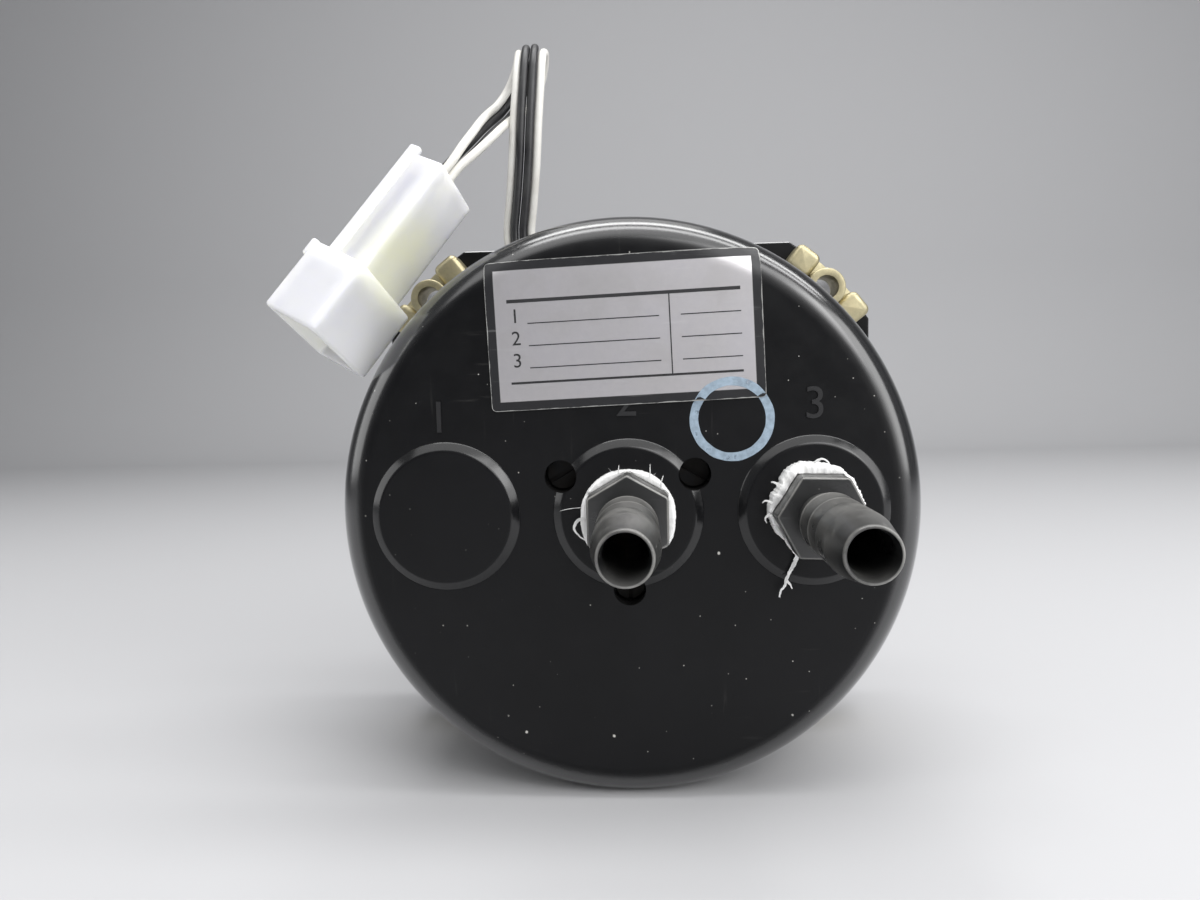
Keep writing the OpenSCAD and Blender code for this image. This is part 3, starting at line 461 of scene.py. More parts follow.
@dataclass(frozen=True)
class NylonFinish:
    """Natural moulded nylon that lets light in, with a warmer colour painted near one place as a painted glow
    of light through its thick part.
    """

    name: str
    colour: Colour
    warm: Colour
    roughness: float
    scatter_mm: float
    thick_at: Point3
    thick_mm: float

    def build(self, groups: SharedGroups) -> bpy.types.Material:
        """Makes the material."""
        shade = Shade(self.name)
        cloud = shade.shared(groups.mottle, Scale=per_mm(7.0))
        flow = shade.shared(groups.mottle, Scale=per_mm(2.2))
        grain = shade.shared(groups.grain, Scale=per_mm(0.3), Stretch=(1.0, 1.0, 1.0))
        line = shade.shared(groups.scuffs, Scale=per_mm(1.0), Stretch=(0.8, 0.3, 0.12), Amount=0.6)
        # Painted glow: the base colour turns warmer near one place, standing in for light shining through the
        # thick nylon.
        glow = shade.math("MULTIPLY", shade.near(self.thick_at, self.thick_mm), shade.span(cloud, 0.75, 1.0))
        tone = shade.mix(glow, self.colour, self.warm)
        tone = shade.mix(shade.span(line, 0.0, 0.2), tone, (0.6, 0.58, 0.5))
        shade.feed(Base_Color=tone, Normal=shade.bump(grain, 0.006),
                   Roughness=shade.span(flow, self.roughness - 0.06, self.roughness + 0.1))
        shade.feed(Subsurface_Weight=1.0, Subsurface_Radius=(1.0, 1.0, 0.8),
                   Subsurface_Scale=self.scatter_mm * MM, IOR=1.53)
        return shade.material


@dataclass(frozen=True)
class JacketFinish:
    """Extruded lead jacket with faint drawn lines, smudges and a soft shine."""

    name: str
    colour: Colour
    smudge: Colour
    roughness: float

    def build(self, groups: SharedGroups) -> bpy.types.Material:
        """Makes the material."""
        shade = Shade(self.name)
        cloud = shade.shared(groups.mottle, Scale=per_mm(5.0))
        grain = shade.shared(groups.grain, Scale=per_mm(0.18), Stretch=(1.0, 1.0, 0.08))
        speck = shade.shared(groups.specks, Scale=per_mm(1.1), Amount=0.05, Size=0.12)
        tone = shade.mix(shade.span(cloud, 0.0, 0.5), self.colour, self.smudge)
        tone = shade.mix(shade.span(speck, 0.0, 0.5), tone, self.smudge)
        shade.feed(Base_Color=tone, Normal=shade.bump(grain, 0.005),
                   Roughness=shade.span(cloud, self.roughness, self.roughness + 0.12))
        return shade.material


@dataclass(frozen=True)
class FilmFinish:
    """Soft white sealing film, creased and a little grubby at its edges."""

    name: str
    colour: Colour
    grubby: Colour

    def build(self, groups: SharedGroups) -> bpy.types.Material:
        """Makes the material."""
        shade = Shade(self.name)
        cloud = shade.shared(groups.mottle, Scale=per_mm(1.6))
        crease = shade.shared(groups.grain, Scale=per_mm(0.5), Stretch=(1.0, 0.5, 0.35))
        tone = shade.mix(shade.span(cloud, 0.0, 0.4), self.colour, self.grubby)
        shade.feed(Base_Color=tone, Normal=shade.bump(crease, 0.14),
                   Roughness=shade.span(cloud, 0.5, 0.7))
        shade.feed(Subsurface_Weight=0.35, Subsurface_Radius=(1.0, 1.0, 1.0), Subsurface_Scale=0.4 * MM)
        return shade.material


@dataclass(frozen=True)
class InkFinish:
    """Stamped marking ink, broken where it did not take."""

    name: str
    colour: Colour

    def build(self, groups: SharedGroups) -> bpy.types.Material:
        """Makes the material."""
        shade = Shade(self.name)
        cloud = shade.shared(groups.mottle, Scale=per_mm(0.9))
        coarse = shade.shared(groups.mottle, Scale=per_mm(3.5))
        blotches = shade.math("ADD", shade.math("MULTIPLY", cloud, 0.5), coarse)
        cover = shade.span(blotches, 0.12, 0.5, smooth=True)
        tone = shade.mix(cloud, self.colour, tuple(0.7 * part for part in self.colour))
        shade.feed(Base_Color=tone, Alpha=shade.span(cover, 0.25, 0.92), Roughness=0.6)
        return shade.material


@dataclass(frozen=True)
class FoilFinish:
    """Brushed foil plate with a printed border. UV runs from 0 to 1 across the plate, in its own sides."""

    name: str
    width_mm: float
    height_mm: float
    border_mm: float = 1.2
    edge_mm: float = 0.15

    def build(self, groups: SharedGroups) -> bpy.types.Material:
        """Makes the material."""
        shade = Shade(self.name)
        across = self._from_edge(shade, shade.part(shade.uv, 0), self.width_mm)
        upward = self._from_edge(shade, shade.part(shade.uv, 1), self.height_mm)
        near = shade.math("MINIMUM", across, upward)
        window = shade.span(near, self.border_mm - 0.06, self.border_mm + 0.06, smooth=True)
        worn = shade.shared(groups.mottle, Scale=per_mm(2.4))
        reach = shade.span(worn, 0.0, self.edge_mm)
        past_rim = shade.span(shade.math("SUBTRACT", near, reach), -0.03, 0.03, smooth=True)
        cloud = shade.shared(groups.mottle, Scale=per_mm(9.0))
        grain = shade.shared(groups.grain, Scale=per_mm(0.09), Stretch=Direction.ALONG_X.value)
        line = shade.shared(groups.scuffs, Scale=per_mm(1.0), Stretch=(0.1, 1.0, 1.0), Amount=0.6)
        foil = shade.mix(cloud, (0.66, 0.64, 0.65), (0.54, 0.525, 0.55))
        printed = shade.math("MULTIPLY", shade.math("SUBTRACT", 1.0, window), past_rim)
        face = shade.mix(window, (0.3, 0.3, 0.29), foil)
        tone = shade.mix(printed, face, (0.01, 0.01, 0.012))
        tone = shade.mix(shade.span(line, 0.0, 0.25), tone, (0.75, 0.75, 0.75))
        bare = shade.math("MULTIPLY", window, past_rim)
        shade.feed(Base_Color=tone, Metallic=shade.span(bare, 0.0, 0.92),
                   Roughness=shade.span(cloud, 0.36, 0.46), Normal=shade.bump(grain, 0.004))
        return shade.material

    @staticmethod
    def _from_edge(shade: Shade, share: Any, length_mm: float) -> Any:
        """Distance in millimetres from the nearer of two opposite sides."""
        centred = shade.math("ABSOLUTE", shade.math("SUBTRACT", share, 0.5))
        return shade.math("MULTIPLY", shade.math("SUBTRACT", 0.5, centred), length_mm)


# Mesh tools


def arc(centre: Point2, radius: float, start: float, end: float, steps: int) -> list[Point2]:
    """Points on an arc.

    Args:
        centre: middle of the arc.
        radius: its radius.
        start: first angle in degrees.
        end: last angle in degrees.
        steps: number of stretches.

    Returns:
        steps + 1 points from start to end.
    """
    angles = [math.radians(start + (end - start) * i / steps) for i in range(steps + 1)]
    return [(centre[0] + radius * math.cos(a), centre[1] + radius * math.sin(a)) for a in angles]


def softened(corners: Sequence[Point2], radius: float, steps: int = 4) -> list[Point2]:
    """Rounds the inner corners of an open line of points.

    Args:
        corners: the line's points.
        radius: largest distance that a corner is cut back.
        steps: stretches in each rounded corner.

    Returns:
        The points of the rounded line.
    """
    points = [corners[0]]
    for before, here, after in zip(corners, corners[1:], corners[2:]):
        a, b, c = Vector(before), Vector(here), Vector(after)
        cut = min(radius, 0.45 * (a - b).length, 0.45 * (c - b).length)
        first = b + (a - b).normalized() * cut
        last = b + (c - b).normalized() * cut
        for i in range(steps + 1):
            t = i / steps
            mixed = first * (1 - t) ** 2 + b * 2 * t * (1 - t) + last * t * t
            points.append((mixed.x, mixed.y))
    points.append(corners[-1])
    return points


def turned(profile: Sequence[Point2], at: Point2 = (0.0, 0.0), segments: int = 160,
           closed: bool = True) -> bmesh.types.BMesh:
    """Turns a half section about an axis along Y.

    Args:
        profile: points of radius and y in millimetres; radius 0 is a pole.
        at: x and z of the axis in millimetres.
        segments: flats round the axis.
        closed: True where the last point joins the first.

    Returns:
        The turned mesh, in metres.
    """
    mesh = bmesh.new()
    rings: list[Ring] = []
    for radius, height in profile:
        if radius < 1e-6:
            rings.append([mesh.verts.new((at[0] * MM, height * MM, at[1] * MM))])
            continue
        ring = []
        for i in range(segments):
            angle = 2 * math.pi * i / segments
            x, z = radius * math.cos(angle), radius * math.sin(angle)
            ring.append(mesh.verts.new(((at[0] + x) * MM, height * MM, (at[1] + z) * MM)))
        rings.append(ring)
    return skinned(mesh, rings, loop=closed and len(rings[0]) > 1)


def skinned(mesh: bmesh.types.BMesh, rings: Sequence[Ring], loop: bool = False,
            capped: bool = False) -> bmesh.types.BMesh:
    """Covers a row of vertex rings with faces that point outwards.

    Args:
        mesh: mesh that holds the rings.
        rings: the rings in their order.
        loop: whether the last ring joins the first.
        capped: whether faces close the two end rings.

    Returns:
        The same mesh.
    """
    for low, high in zip(rings, rings[1:]):
        join_rings(mesh, low, high)
    if loop:
        join_rings(mesh, rings[-1], rings[0])
    for ring in (rings[0], rings[-1]) if capped else ():
        mesh.faces.new(ring)
    bmesh.ops.recalc_face_normals(mesh, faces=mesh.faces)
    return mesh


def join_rings(mesh: bmesh.types.BMesh, low: Ring, high: Ring) -> None:
    """Fills the band between two rings of vertices, either of which may be a pole."""
    count = max(len(low), len(high))
    for i in range(count if len(low) + len(high) > 2 else 0):
        j = (i + 1) % count
        corners = [low[i % len(low)], low[j % len(low)], high[j % len(high)], high[i % len(high)]]
        mesh.faces.new(list(dict.fromkeys(corners)))


def box_mesh(low: Point3, high: Point3) -> bmesh.types.BMesh:
    """Box between two corners given in millimetres."""
    mesh = bmesh.new()
    bmesh.ops.create_cube(mesh, size=1.0)
    size = [(b - a) * MM for a, b in zip(low, high)]
    middle = [(a + b) / 2 * MM for a, b in zip(low, high)]
    bmesh.ops.scale(mesh, vec=size, verts=mesh.verts)
    bmesh.ops.translate(mesh, vec=middle, verts=mesh.verts)
    return mesh


def merge_meshes(parts: Iterable[bmesh.types.BMesh]) -> bmesh.types.BMesh:
    """Puts several meshes into one and frees them."""
    whole = bmesh.new()
    for part in parts:
        data = bpy.data.meshes.new("part")
        part.to_mesh(data)
        part.free()
        whole.from_mesh(data)
        bpy.data.meshes.remove(data)
    return whole


def linked(name: str, data: Any) -> bpy.types.Object:
    """Puts data into the scene as an object at the origin."""
    made = bpy.data.objects.new(name, data)
    bpy.context.scene.collection.objects.link(made)
    return made


def evaluated(source: bpy.types.Object) -> bpy.types.Mesh:
    """Plain mesh of an object with its modifiers."""
    bpy.context.view_layer.update()
    graph = bpy.context.evaluated_depsgraph_get()
    return bpy.data.meshes.new_from_object(source.evaluated_get(graph))


def taken(source: bpy.types.Object) -> bmesh.types.BMesh:
    """Takes an object's mesh and removes the object."""
    mesh = bmesh.new()
    mesh.from_mesh(source.data)
    bpy.data.objects.remove(source)
    return mesh


def filled(data: bpy.types.Curve, name: str, place: Matrix) -> bmesh.types.BMesh:
    """Turns a flat curve or text into a closed mesh in its place, and removes the curve."""
    shape = linked(name, data)
    mesh = evaluated(shape)
    bpy.data.objects.remove(shape)
    bpy.data.curves.remove(data)
    mesh.transform(place)
    made = bmesh.new()
    made.from_mesh(mesh)
    bpy.data.meshes.remove(mesh)
    bmesh.ops.remove_doubles(made, verts=made.verts, dist=1e-7)
    bmesh.ops.recalc_face_normals(made, faces=made.faces)
    return made


def as_object(mesh: bmesh.types.BMesh, name: str, sharp: float = 32.0) -> bpy.types.Object:
    """Makes an object from a mesh and frees the mesh.

    Args:
        mesh: the geometry, in metres.
        name: the object's name.
        sharp: angle in degrees past which an edge stays crisp.

    Returns:
        The object, at the origin.
    """
    data = bpy.data.meshes.new(name)
    mesh.to_mesh(data)
    mesh.free()
    made = linked(name, data)
    crease(made, sharp)
    return made


def crease(target: bpy.types.Object, sharp: float = 32.0) -> None:
    """Shades an object smooth, apart from edges sharper than that angle in degrees."""
    for face in target.data.polygons:
        face.use_smooth = True
    target.data.set_sharp_from_angle(angle=math.radians(sharp))


def baked(target: bpy.types.Object, sharp: float = 32.0) -> bpy.types.Object:
    """Turns an object with modifiers into a plain mesh and shades it."""
    fresh = evaluated(target)
    target.modifiers.clear()
    old = target.data
    target.data = fresh
    bpy.data.meshes.remove(old)
    crease(target, sharp)
    return target


def evened(target: bpy.types.Object, flat: Vector | None = None) -> bpy.types.Object:
    """Weights an object's normals by face area, so that flat faces beside small roundings stay flat.

    Args:
        target: object that is changed.
        flat: direction whose faces keep it exactly, cut up as they may be.

    Returns:
        The same object.
    """
    step = target.modifiers.new("normals", "WEIGHTED_NORMAL")
    step.mode = "FACE_AREA"
    step.keep_sharp = True
    fresh = evaluated(target)
    target.modifiers.clear()
    target.data = fresh
    if flat is not None:
        hold_flat(fresh, flat)
    return target


def with_faces(mesh: bpy.types.Mesh) -> list[tuple[bpy.types.MeshEdge, list[int]]]:
    """Every edge of a mesh with the numbers of the faces beside it."""
    sides: dict[tuple[int, int], list[int]] = {}
    for face in mesh.polygons:
        for key in face.edge_keys:
            sides.setdefault(key, []).append(face.index)
    return [(edge, sides[edge.key]) for edge in mesh.edges]


def hold_flat(mesh: bpy.types.Mesh, flat: Vector, reach: float = 24.0) -> None:
    """Sets the normals on the flat faces of one direction, and where roundings leave them.

    Args:
        mesh: mesh that is changed.
        flat: the direction.
        reach: slope in degrees up to which a face beside them counts as their rounding.
    """
    level = {index for face in mesh.polygons if face.normal.dot(flat) > 0.9999 for index in face.vertices}
    limit = math.cos(math.radians(reach))
    for edge, beside in with_faces(mesh):
        leans = [mesh.polygons[index].normal.dot(flat) for index in beside]
        if max(leans) > 0.9999 and min(leans) < limit:
            edge.use_edge_sharp = True
    normals = [Vector(corner.vector) for corner in mesh.corner_normals]
    for face in mesh.polygons:
        if face.normal.dot(flat) < limit:
            continue
        for corner in face.loop_indices:
            if mesh.loops[corner].vertex_index in level:
                normals[corner] = flat
    mesh.normals_split_custom_set(normals)


def hold_round(mesh: bpy.types.Mesh, radius: float, reach: float = 10.0) -> None:
    """Sets the normals of a barrel about the Y axis square to it, cut up as its faces may be.

    Args:
        mesh: mesh that is changed.
        radius: the barrel's radius in millimetres.
        reach: lean, in degrees, past which a neighbouring face is parted by a sharp edge.
    """
    square = {point.index: Vector((point.co.x, 0.0, point.co.z)).normalized() for point in mesh.vertices
              if abs(math.hypot(point.co.x, point.co.z) / MM - radius) < 0.02}
    limit = math.cos(math.radians(reach))
    barrel = {face.index for face in mesh.polygons
              if all(index in square for index in face.vertices)
              and face.normal.dot(square[face.vertices[0]]) > 0.99}
    for edge, beside in with_faces(mesh):
        if barrel.isdisjoint(beside) or barrel.issuperset(beside):
            continue
        if min(mesh.polygons[index].normal.dot(square[edge.vertices[0]]) for index in beside) < limit:
            edge.use_edge_sharp = True
    normals = [Vector(corner.vector) for corner in mesh.corner_normals]
    for index in barrel:
        for corner in mesh.polygons[index].loop_indices:
            normals[corner] = square[mesh.loops[corner].vertex_index]
    mesh.normals_split_custom_set(normals)


def combined(base: bpy.types.Object, others: Sequence[bpy.types.Object], operation: str) -> bpy.types.Object:
    """Applies boolean operations to an object and removes the others.

    Args:
        base: object that is changed.
        others: objects that are added or taken away.
        operation: UNION or DIFFERENCE.

    Returns:
        The base, as a plain mesh.
    """
    for other in others:
        step = base.modifiers.new("shape", "BOOLEAN")
        step.operation = operation
        step.solver = "EXACT"
        step.object = other
    baked(base)
    for other in others:
        data = other.data
        bpy.data.objects.remove(other)
        bpy.data.meshes.remove(data)
    return base


def eased(target: bpy.types.Object, width_mm: float, segments: int = 3, angle: float = 38.0,
          sharp: float = 32.0) -> bpy.types.Object:
    """Rounds an object's crisp edges.

    Args:
        target: object that is changed.
        width_mm: width of the rounding.
        segments: steps across it.
        angle: edges sharper than this, in degrees, are rounded.
        sharp: shading angle afterwards.

    Returns:
        The same object, as a plain mesh.
    """
    step = target.modifiers.new("edges", "BEVEL")
    step.width = width_mm * MM
    step.segments = segments
    step.limit_method = "ANGLE"
    step.angle_limit = math.radians(angle)
    step.use_clamp_overlap = True
    step.miter_outer = "MITER_ARC"
    return baked(target, sharp)


def flat_plate(loops: Sequence[Sequence[Point2]], y0: float, y1: float, name: str,
               edge: float = 0.0) -> bpy.types.Object:
    """Makes a plate from outlines seen from the front.

    Args:
        loops: outer outlines and holes, in millimetres of x and z.
        y0: front face.
        y1: rear face.
        name: the object's name.
        edge: rounding of the edges.

    Returns:
        The plate as a mesh object at the origin.
    """
    data = bpy.data.curves.new(name, "CURVE")
    data.dimensions = "2D"
    data.fill_mode = "BOTH"
    data.extrude = ((y1 - y0) / 2 - edge) * MM
    data.bevel_depth = edge * MM
    data.bevel_resolution = 2
    data.offset = -edge * MM
    for loop in loops:
        line = data.splines.new("POLY")
        line.points.add(len(loop) - 1)
        for point, (x, z) in zip(line.points, loop):
            point.co = (x * MM, z * MM, 0.0, 1.0)
        line.use_cyclic_u = True
    stand = Matrix.Translation((0.0, (y0 + y1) / 2 * MM, 0.0)) @ Matrix.Rotation(math.pi / 2, 4, "X")
    return as_object(filled(data, name, stand), name)


def circle_loop(centre: Point2, radius: float, steps: int = 64) -> list[Point2]:
    """Closed circle of points."""
    return arc(centre, radius, 0.0, 360.0, steps)[:-1]


def rounded_loop(width: float, height: float, radius: float, steps: int = 6) -> list[Point2]:
    """Closed rectangle with round corners, about the origin."""
    x, z = width / 2 - radius, height / 2 - radius
    corners = (((x, z), 0.0), ((-x, z), 90.0), ((-x, -z), 180.0), ((x, -z), 270.0))
    return [point for centre, start in corners for point in arc(centre, radius, start, start + 90.0, steps)]


def smooth_path(points: Sequence[Vector], per_span: int) -> list[Vector]:
    """Runs a smooth line through given points.

    Args:
        points: places that the line passes.
        per_span: steps between two of them.

    Returns:
        The line's points.
    """
    ends = [points[0] * 2 - points[1], *points, points[-1] * 2 - points[-2]]
    line = []
    for a, b, c, d in zip(ends, ends[1:], ends[2:], ends[3:]):
        for i in range(per_span):
            t = i / per_span
            line.append(0.5 * ((2 * b) + (c - a) * t + (2 * a - 5 * b + 4 * c - d) * t * t
                               + (3 * b - a - 3 * c + d) * t ** 3))
    line.append(points[-1].copy())
    return line


def ribbon(points: Sequence[Point3], width: float, thickness: float, seed: int,
           taper: float = 0.5) -> bmesh.types.BMesh:
    """Makes a thin, frayed strip of film along a path.

    Args:
        points: path in millimetres.
        width: width in the middle, in millimetres.
        thickness: thickness in millimetres.
        seed: picks the fraying.
        taper: width left at the loose end.

    Returns:
        A closed strip, in metres.
    """
    rng = random.Random(seed)
    line = smooth_path([Vector(p) for p in points], 5)
    count = len(line)
    mesh = bmesh.new()
    rings = []
    for i, here in enumerate(line):
        along = (line[min(i + 1, count - 1)] - line[max(i - 1, 0)]).normalized()
        lean = Vector((0.35 * math.sin(0.6 * i + seed), 1.0, 0.25 * math.cos(0.45 * i)))
        side = along.cross(lean).normalized()
        face = side.cross(along).normalized()
        share = 1.0 - (1.0 - taper) * i / (count - 1)
        half = 0.5 * width * share * rng.uniform(0.84, 1.1)
        shift = side * rng.uniform(-0.05, 0.05) * width
        deep = 0.5 * thickness
        corners = (side * half + face * deep, face * deep * 1.4, side * -half + face * deep,
                   side * -half - face * deep, face * -deep * 1.4, side * half - face * deep)
        rings.append([mesh.verts.new((here + shift + corner) * MM) for corner in corners])
    return skinned(mesh, rings, capped=True)


def dress(target: bpy.types.Object, material: bpy.types.Material, slot: str, *nodes: str,
          body: str = ROOT) -> bpy.types.Object:
    """Gives a finished piece its finish and its body, and hides the CAD solids that it replaces.

    Args:
        target: the piece.
        material: its finish.
        slot: the record's material slot; not used.
        *nodes: CAD nodes that it replaces.
        body: CAD body that it rides on.

    Returns:
        The piece.
    """
    target.data.materials.clear()
    target.data.materials.append(material)
    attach(target, body)
    if nodes:
        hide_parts(*nodes)
    LOG.info("piece %s on %s", target.name, body)
    return target


# Geometry Nodes


class TreeBuilder(GroupBuilder):
    """Builds one Geometry Nodes tree with named inputs."""

    def __init__(self, name: str) -> None:
        """Starts an empty tree of that name."""
        super().__init__(name, "GeometryNodeTree")

    def finish(self, geometry: Any, material: Any) -> bpy.types.NodeTree:
        """Realizes the instances, sets their material and closes the tree."""
        solid = self.wire(self.node("GeometryNodeRealizeInstances"), Geometry=geometry)
        coated = self.node("GeometryNodeSetMaterial")
        self.wire(coated, Geometry=solid.outputs[0], Material=material)
        return self.give("Geometry", coated.outputs[0], "NodeSocketGeometry")


def ring_tree() -> bpy.types.NodeTree:
    """Makes the tree that sets copies of a piece round the case axis.

    Returns:
        A tree with Item, Count, Start, Step and Material in. Seen from the front, angles run clockwise.
    """
    builder = TreeBuilder("copies round the axis")
    item = builder.take("Item", "NodeSocketGeometry")
    count = builder.take("Count", "NodeSocketInt")
    start = builder.take("Start")
    step = builder.take("Step")
    material = builder.take("Material", "NodeSocketMaterial")
    points = builder.wire(builder.node("GeometryNodePoints"), Count=count)
    index = builder.node("GeometryNodeInputIndex").outputs[0]
    angle = builder.math("ADD", start, builder.math("MULTIPLY", step, index))
    turn = builder.wire(builder.node("ShaderNodeCombineXYZ"), Y=angle)
    spread = builder.node("GeometryNodeInstanceOnPoints")
    builder.wire(spread, Points=points.outputs[0], Instance=item, Rotation=turn.outputs[0])
    return builder.finish(spread.outputs[0], material)


def fuzz_tree() -> bpy.types.NodeTree:
    """Makes the tree that grows short loose fibres on a surface.

    Returns:
        A tree with Surface, Density, Length, Thickness, Seed and Material in.
    """
    builder = TreeBuilder("loose fibres")
    surface = builder.take("Surface", "NodeSocketGeometry")
    density = builder.take("Density")
    length = builder.take("Length")
    thickness = builder.take("Thickness")
    seed = builder.take("Seed", "NodeSocketInt")
    material = builder.take("Material", "NodeSocketMaterial")
    spots = builder.node("GeometryNodeDistributePointsOnFaces")
    builder.wire(spots, Mesh=surface, Density=density, Seed=seed)
    fibre = builder.node("GeometryNodeMeshCone", fill_type="NGON")
    builder.wire(fibre, Vertices=5, Side_Segments=3, Radius_Top=0.0, Radius_Bottom=thickness, Depth=length)
    lean = builder.node("FunctionNodeRandomValue", data_type="FLOAT_VECTOR")
    builder.wire(lean, Min=(-0.9, -0.9, -3.1), Max=(0.9, 0.9, 3.1), Seed=seed)
    size = builder.node("FunctionNodeRandomValue", data_type="FLOAT")
    builder.put(size.inputs[2], 0.4)
    builder.put(size.inputs[3], 1.3)
    spread = builder.node("GeometryNodeInstanceOnPoints")
    builder.wire(spread, Points=spots.outputs["Points"], Instance=fibre.outputs["Mesh"],
                 Rotation=spots.outputs["Rotation"], Scale=size.outputs[1])
    leaning = builder.node("GeometryNodeRotateInstances")
    builder.wire(leaning, Instances=spread.outputs[0], Rotation=lean.outputs[0])
    return builder.finish(leaning.outputs[0], material)


def grown(name: str, tree: bpy.types.NodeTree, surface: bpy.types.Mesh, **values: Any) -> bpy.types.Object:
    """Runs a Geometry Nodes tree and returns its result as a plain mesh.

    Args:
        name: the new object's name.
        tree: the tree.
        surface: mesh that the tree starts from.
        **values: values of its inputs, by name.

    Returns:
        The object, with no modifier left on it.
    """
    made = linked(name, surface)
    step = made.modifiers.new("grow", "NODES")
    step.node_group = tree
    for item in tree.interface.items_tree:
        if item.in_out == "INPUT" and item.name in values:
            step[item.identifier] = values[item.name]
    return baked(made)


def words(text: str, size_mm: float, depth_mm: float, place: Matrix, name: str) -> bmesh.types.BMesh:
    """Makes plain numbers as a mesh.

    Args:
        text: the digits.
        size_mm: height of the type.
        depth_mm: how far the digits stand out, to either side of their plane.
        place: where they go, in metres.
        name: name for the data.

    Returns:
        The mesh, in place.
    """
    data = bpy.data.curves.new(name, "FONT")
    data.body = text
    data.size = size_mm * MM
    data.extrude = depth_mm * MM
    data.align_x = "CENTER"
    data.align_y = "CENTER"
    data.resolution_u = 5
    return filled(data, name, place)


def facing_rear(x: float, y: float, z: float, turn: float = 0.0) -> Matrix:
    """Place for something drawn flat that is read from the rear, in millimetres and degrees."""
    axes = Matrix(((-1, 0, 0, 0), (0, 0, 1, 0), (0, 1, 0, 0), (0, 0, 0, 1)))
    return Matrix.Translation((x * MM, y * MM, z * MM)) @ axes @ Matrix.Rotation(math.radians(turn), 4, "Z")


def facing_front(x: float, y: float, z: float) -> Matrix:
    """Place for something drawn flat that is read from the front, in millimetres."""
    axes = Matrix(((1, 0, 0, 0), (0, 0, -1, 0), (0, 1, 0, 0), (0, 0, 0, 1)))
    return Matrix.Translation((x * MM, y * MM, z * MM)) @ axes


def plain_rod(at: Point2, y0: float, y1: float, radius: float, name: str) -> bpy.types.Object:
    """Rod along Y as an object, for cutting holes or adding pads."""
    section = [(0.0, y0), (radius, y0), (radius, y1), (0.0, y1)]
    return as_object(turned(section, at, 96, closed=False), name)


Finishes = dict[str, bpy.types.Material]


# Sub-assemblies


@dataclass
class Studio:
    """Camera at the photograph's place, pale floor with a cove, soft lamps and an even sky."""

    eye: Point3 = (-1.70, 150.43, 17.69)
    ahead: Point3 = (0.0458, -0.9958, -0.0796)
    upward: Point3 = (-0.0203, -0.0806, 0.9965)
    lens: float = 26.1
    floor_z: float = -39.6
    floor_y: float = 5.0
    slope: float = 0.0038
    cove_y: float = -520.0
    cove_r: float = 160.0
    half_width: float = 2400.0
    floor_end: float = 2400.0
    wall_h: float = 1500.0

    def build(self) -> None:
        """Makes everything that is not part of the object."""
        self._camera()
        self._floor()
        self._sky()
        self._lamp("key lamp", (0.05, 0.30, 0.46), (0.7, 0.3), 0.95)
        self._lamp("side lamp", (-0.28, 0.48, 0.36), (0.5, 0.35), 1.7)
        self._lamp("right lamp", (-0.45, 0.30, 0.18), (0.4, 0.4), 1.6)
        self._lamp("left lamp", (0.5, 0.12, 0.15), (0.3, 0.3), 0.5)
        self._lamp("wall lamp", (0.0, -0.25, 0.8), (0.5, 0.5), 0.9)
        self._lamp("front tube", (-0.2, -0.05, 0.6), (0.9, 0.11), 2.3, down=True)
        self._lamp("rear tube", (-0.2, 0.15, 0.6), (0.9, 0.11), 2.0, down=True)

    def _camera(self) -> None:
        """Places the camera that matches the photograph."""
        data = bpy.data.cameras.new("photo camera")
        data.lens = self.lens
        data.sensor_width = 36.0
        data.clip_start = 0.005
        data.clip_end = 20.0
        camera = linked("photo camera", data)
        back = -Vector(self.ahead).normalized()
        side = Vector(self.upward).cross(back).normalized()
        up = back.cross(side)
        turn = Matrix((side, up, back)).transposed().to_4x4()
        camera.matrix_world = Matrix.Translation(Vector(self.eye) * MM) @ turn
        bpy.context.scene.camera = camera

    def _floor(self) -> None:
        """Makes the floor, its cove and the wall behind as one sheet."""
        def level(y: float) -> float:
            return self.floor_z + (y - self.floor_y) * self.slope

        line = [(self.floor_end, level(self.floor_end)), (0.0, level(0.0)), (self.cove_y, level(self.cove_y))]
        middle = (self.cove_y, level(self.cove_y) + self.cove_r)
        line += arc(middle, self.cove_r, 270.0, 180.0, 24)[1:]
        line.append((self.cove_y - self.cove_r, self.wall_h))
        mesh = bmesh.new()
        rows = [[mesh.verts.new((x * MM, y * MM, z * MM)) for x in (-self.half_width, self.half_width)]
                for y, z in line]
        for low, high in zip(rows, rows[1:]):
            mesh.faces.new((low[1], high[1], high[0], low[0]))
        floor = as_object(mesh, "studio_floor", sharp=80.0)
        shade = bpy.data.materials.new("pale paper")
        shade.use_nodes = True
        paper = shade.node_tree.nodes["Principled BSDF"]
        paper.inputs["Base Color"].default_value = (0.5, 0.5, 0.51, 1.0)
        paper.inputs["Roughness"].default_value = 0.85
        floor.data.materials.append(shade)

    def _sky(self) -> None:
        """Lights the scene evenly with a dim, plain world."""
        world = bpy.data.worlds.new("studio sky")
        world.use_nodes = True
        sky = world.node_tree.nodes["Background"]
        sky.inputs["Color"].default_value = (0.95, 0.97, 1.0, 1.0)
        sky.inputs["Strength"].default_value = 0.22
        bpy.context.scene.world = world

    def _lamp(self, name: str, place: Point3, size: Point2, watts: float, down: bool = False) -> None:
        """Adds a soft lamp.

        Args:
            name: its name.
            place: where it hangs, in metres.
            size: its two sides in metres.
            watts: its power.
            down: whether it hangs level, like a tube, and not turned to the object.
        """
        data = bpy.data.lights.new(name, "AREA")
        data.shape = "RECTANGLE"
        data.size, data.size_y = size
        data.energy = watts
        lamp = linked(name, data)
        lamp.location = place
        if not down:
            lamp.rotation_euler = (-Vector(place)).to_track_quat("-Z", "Y").to_euler()


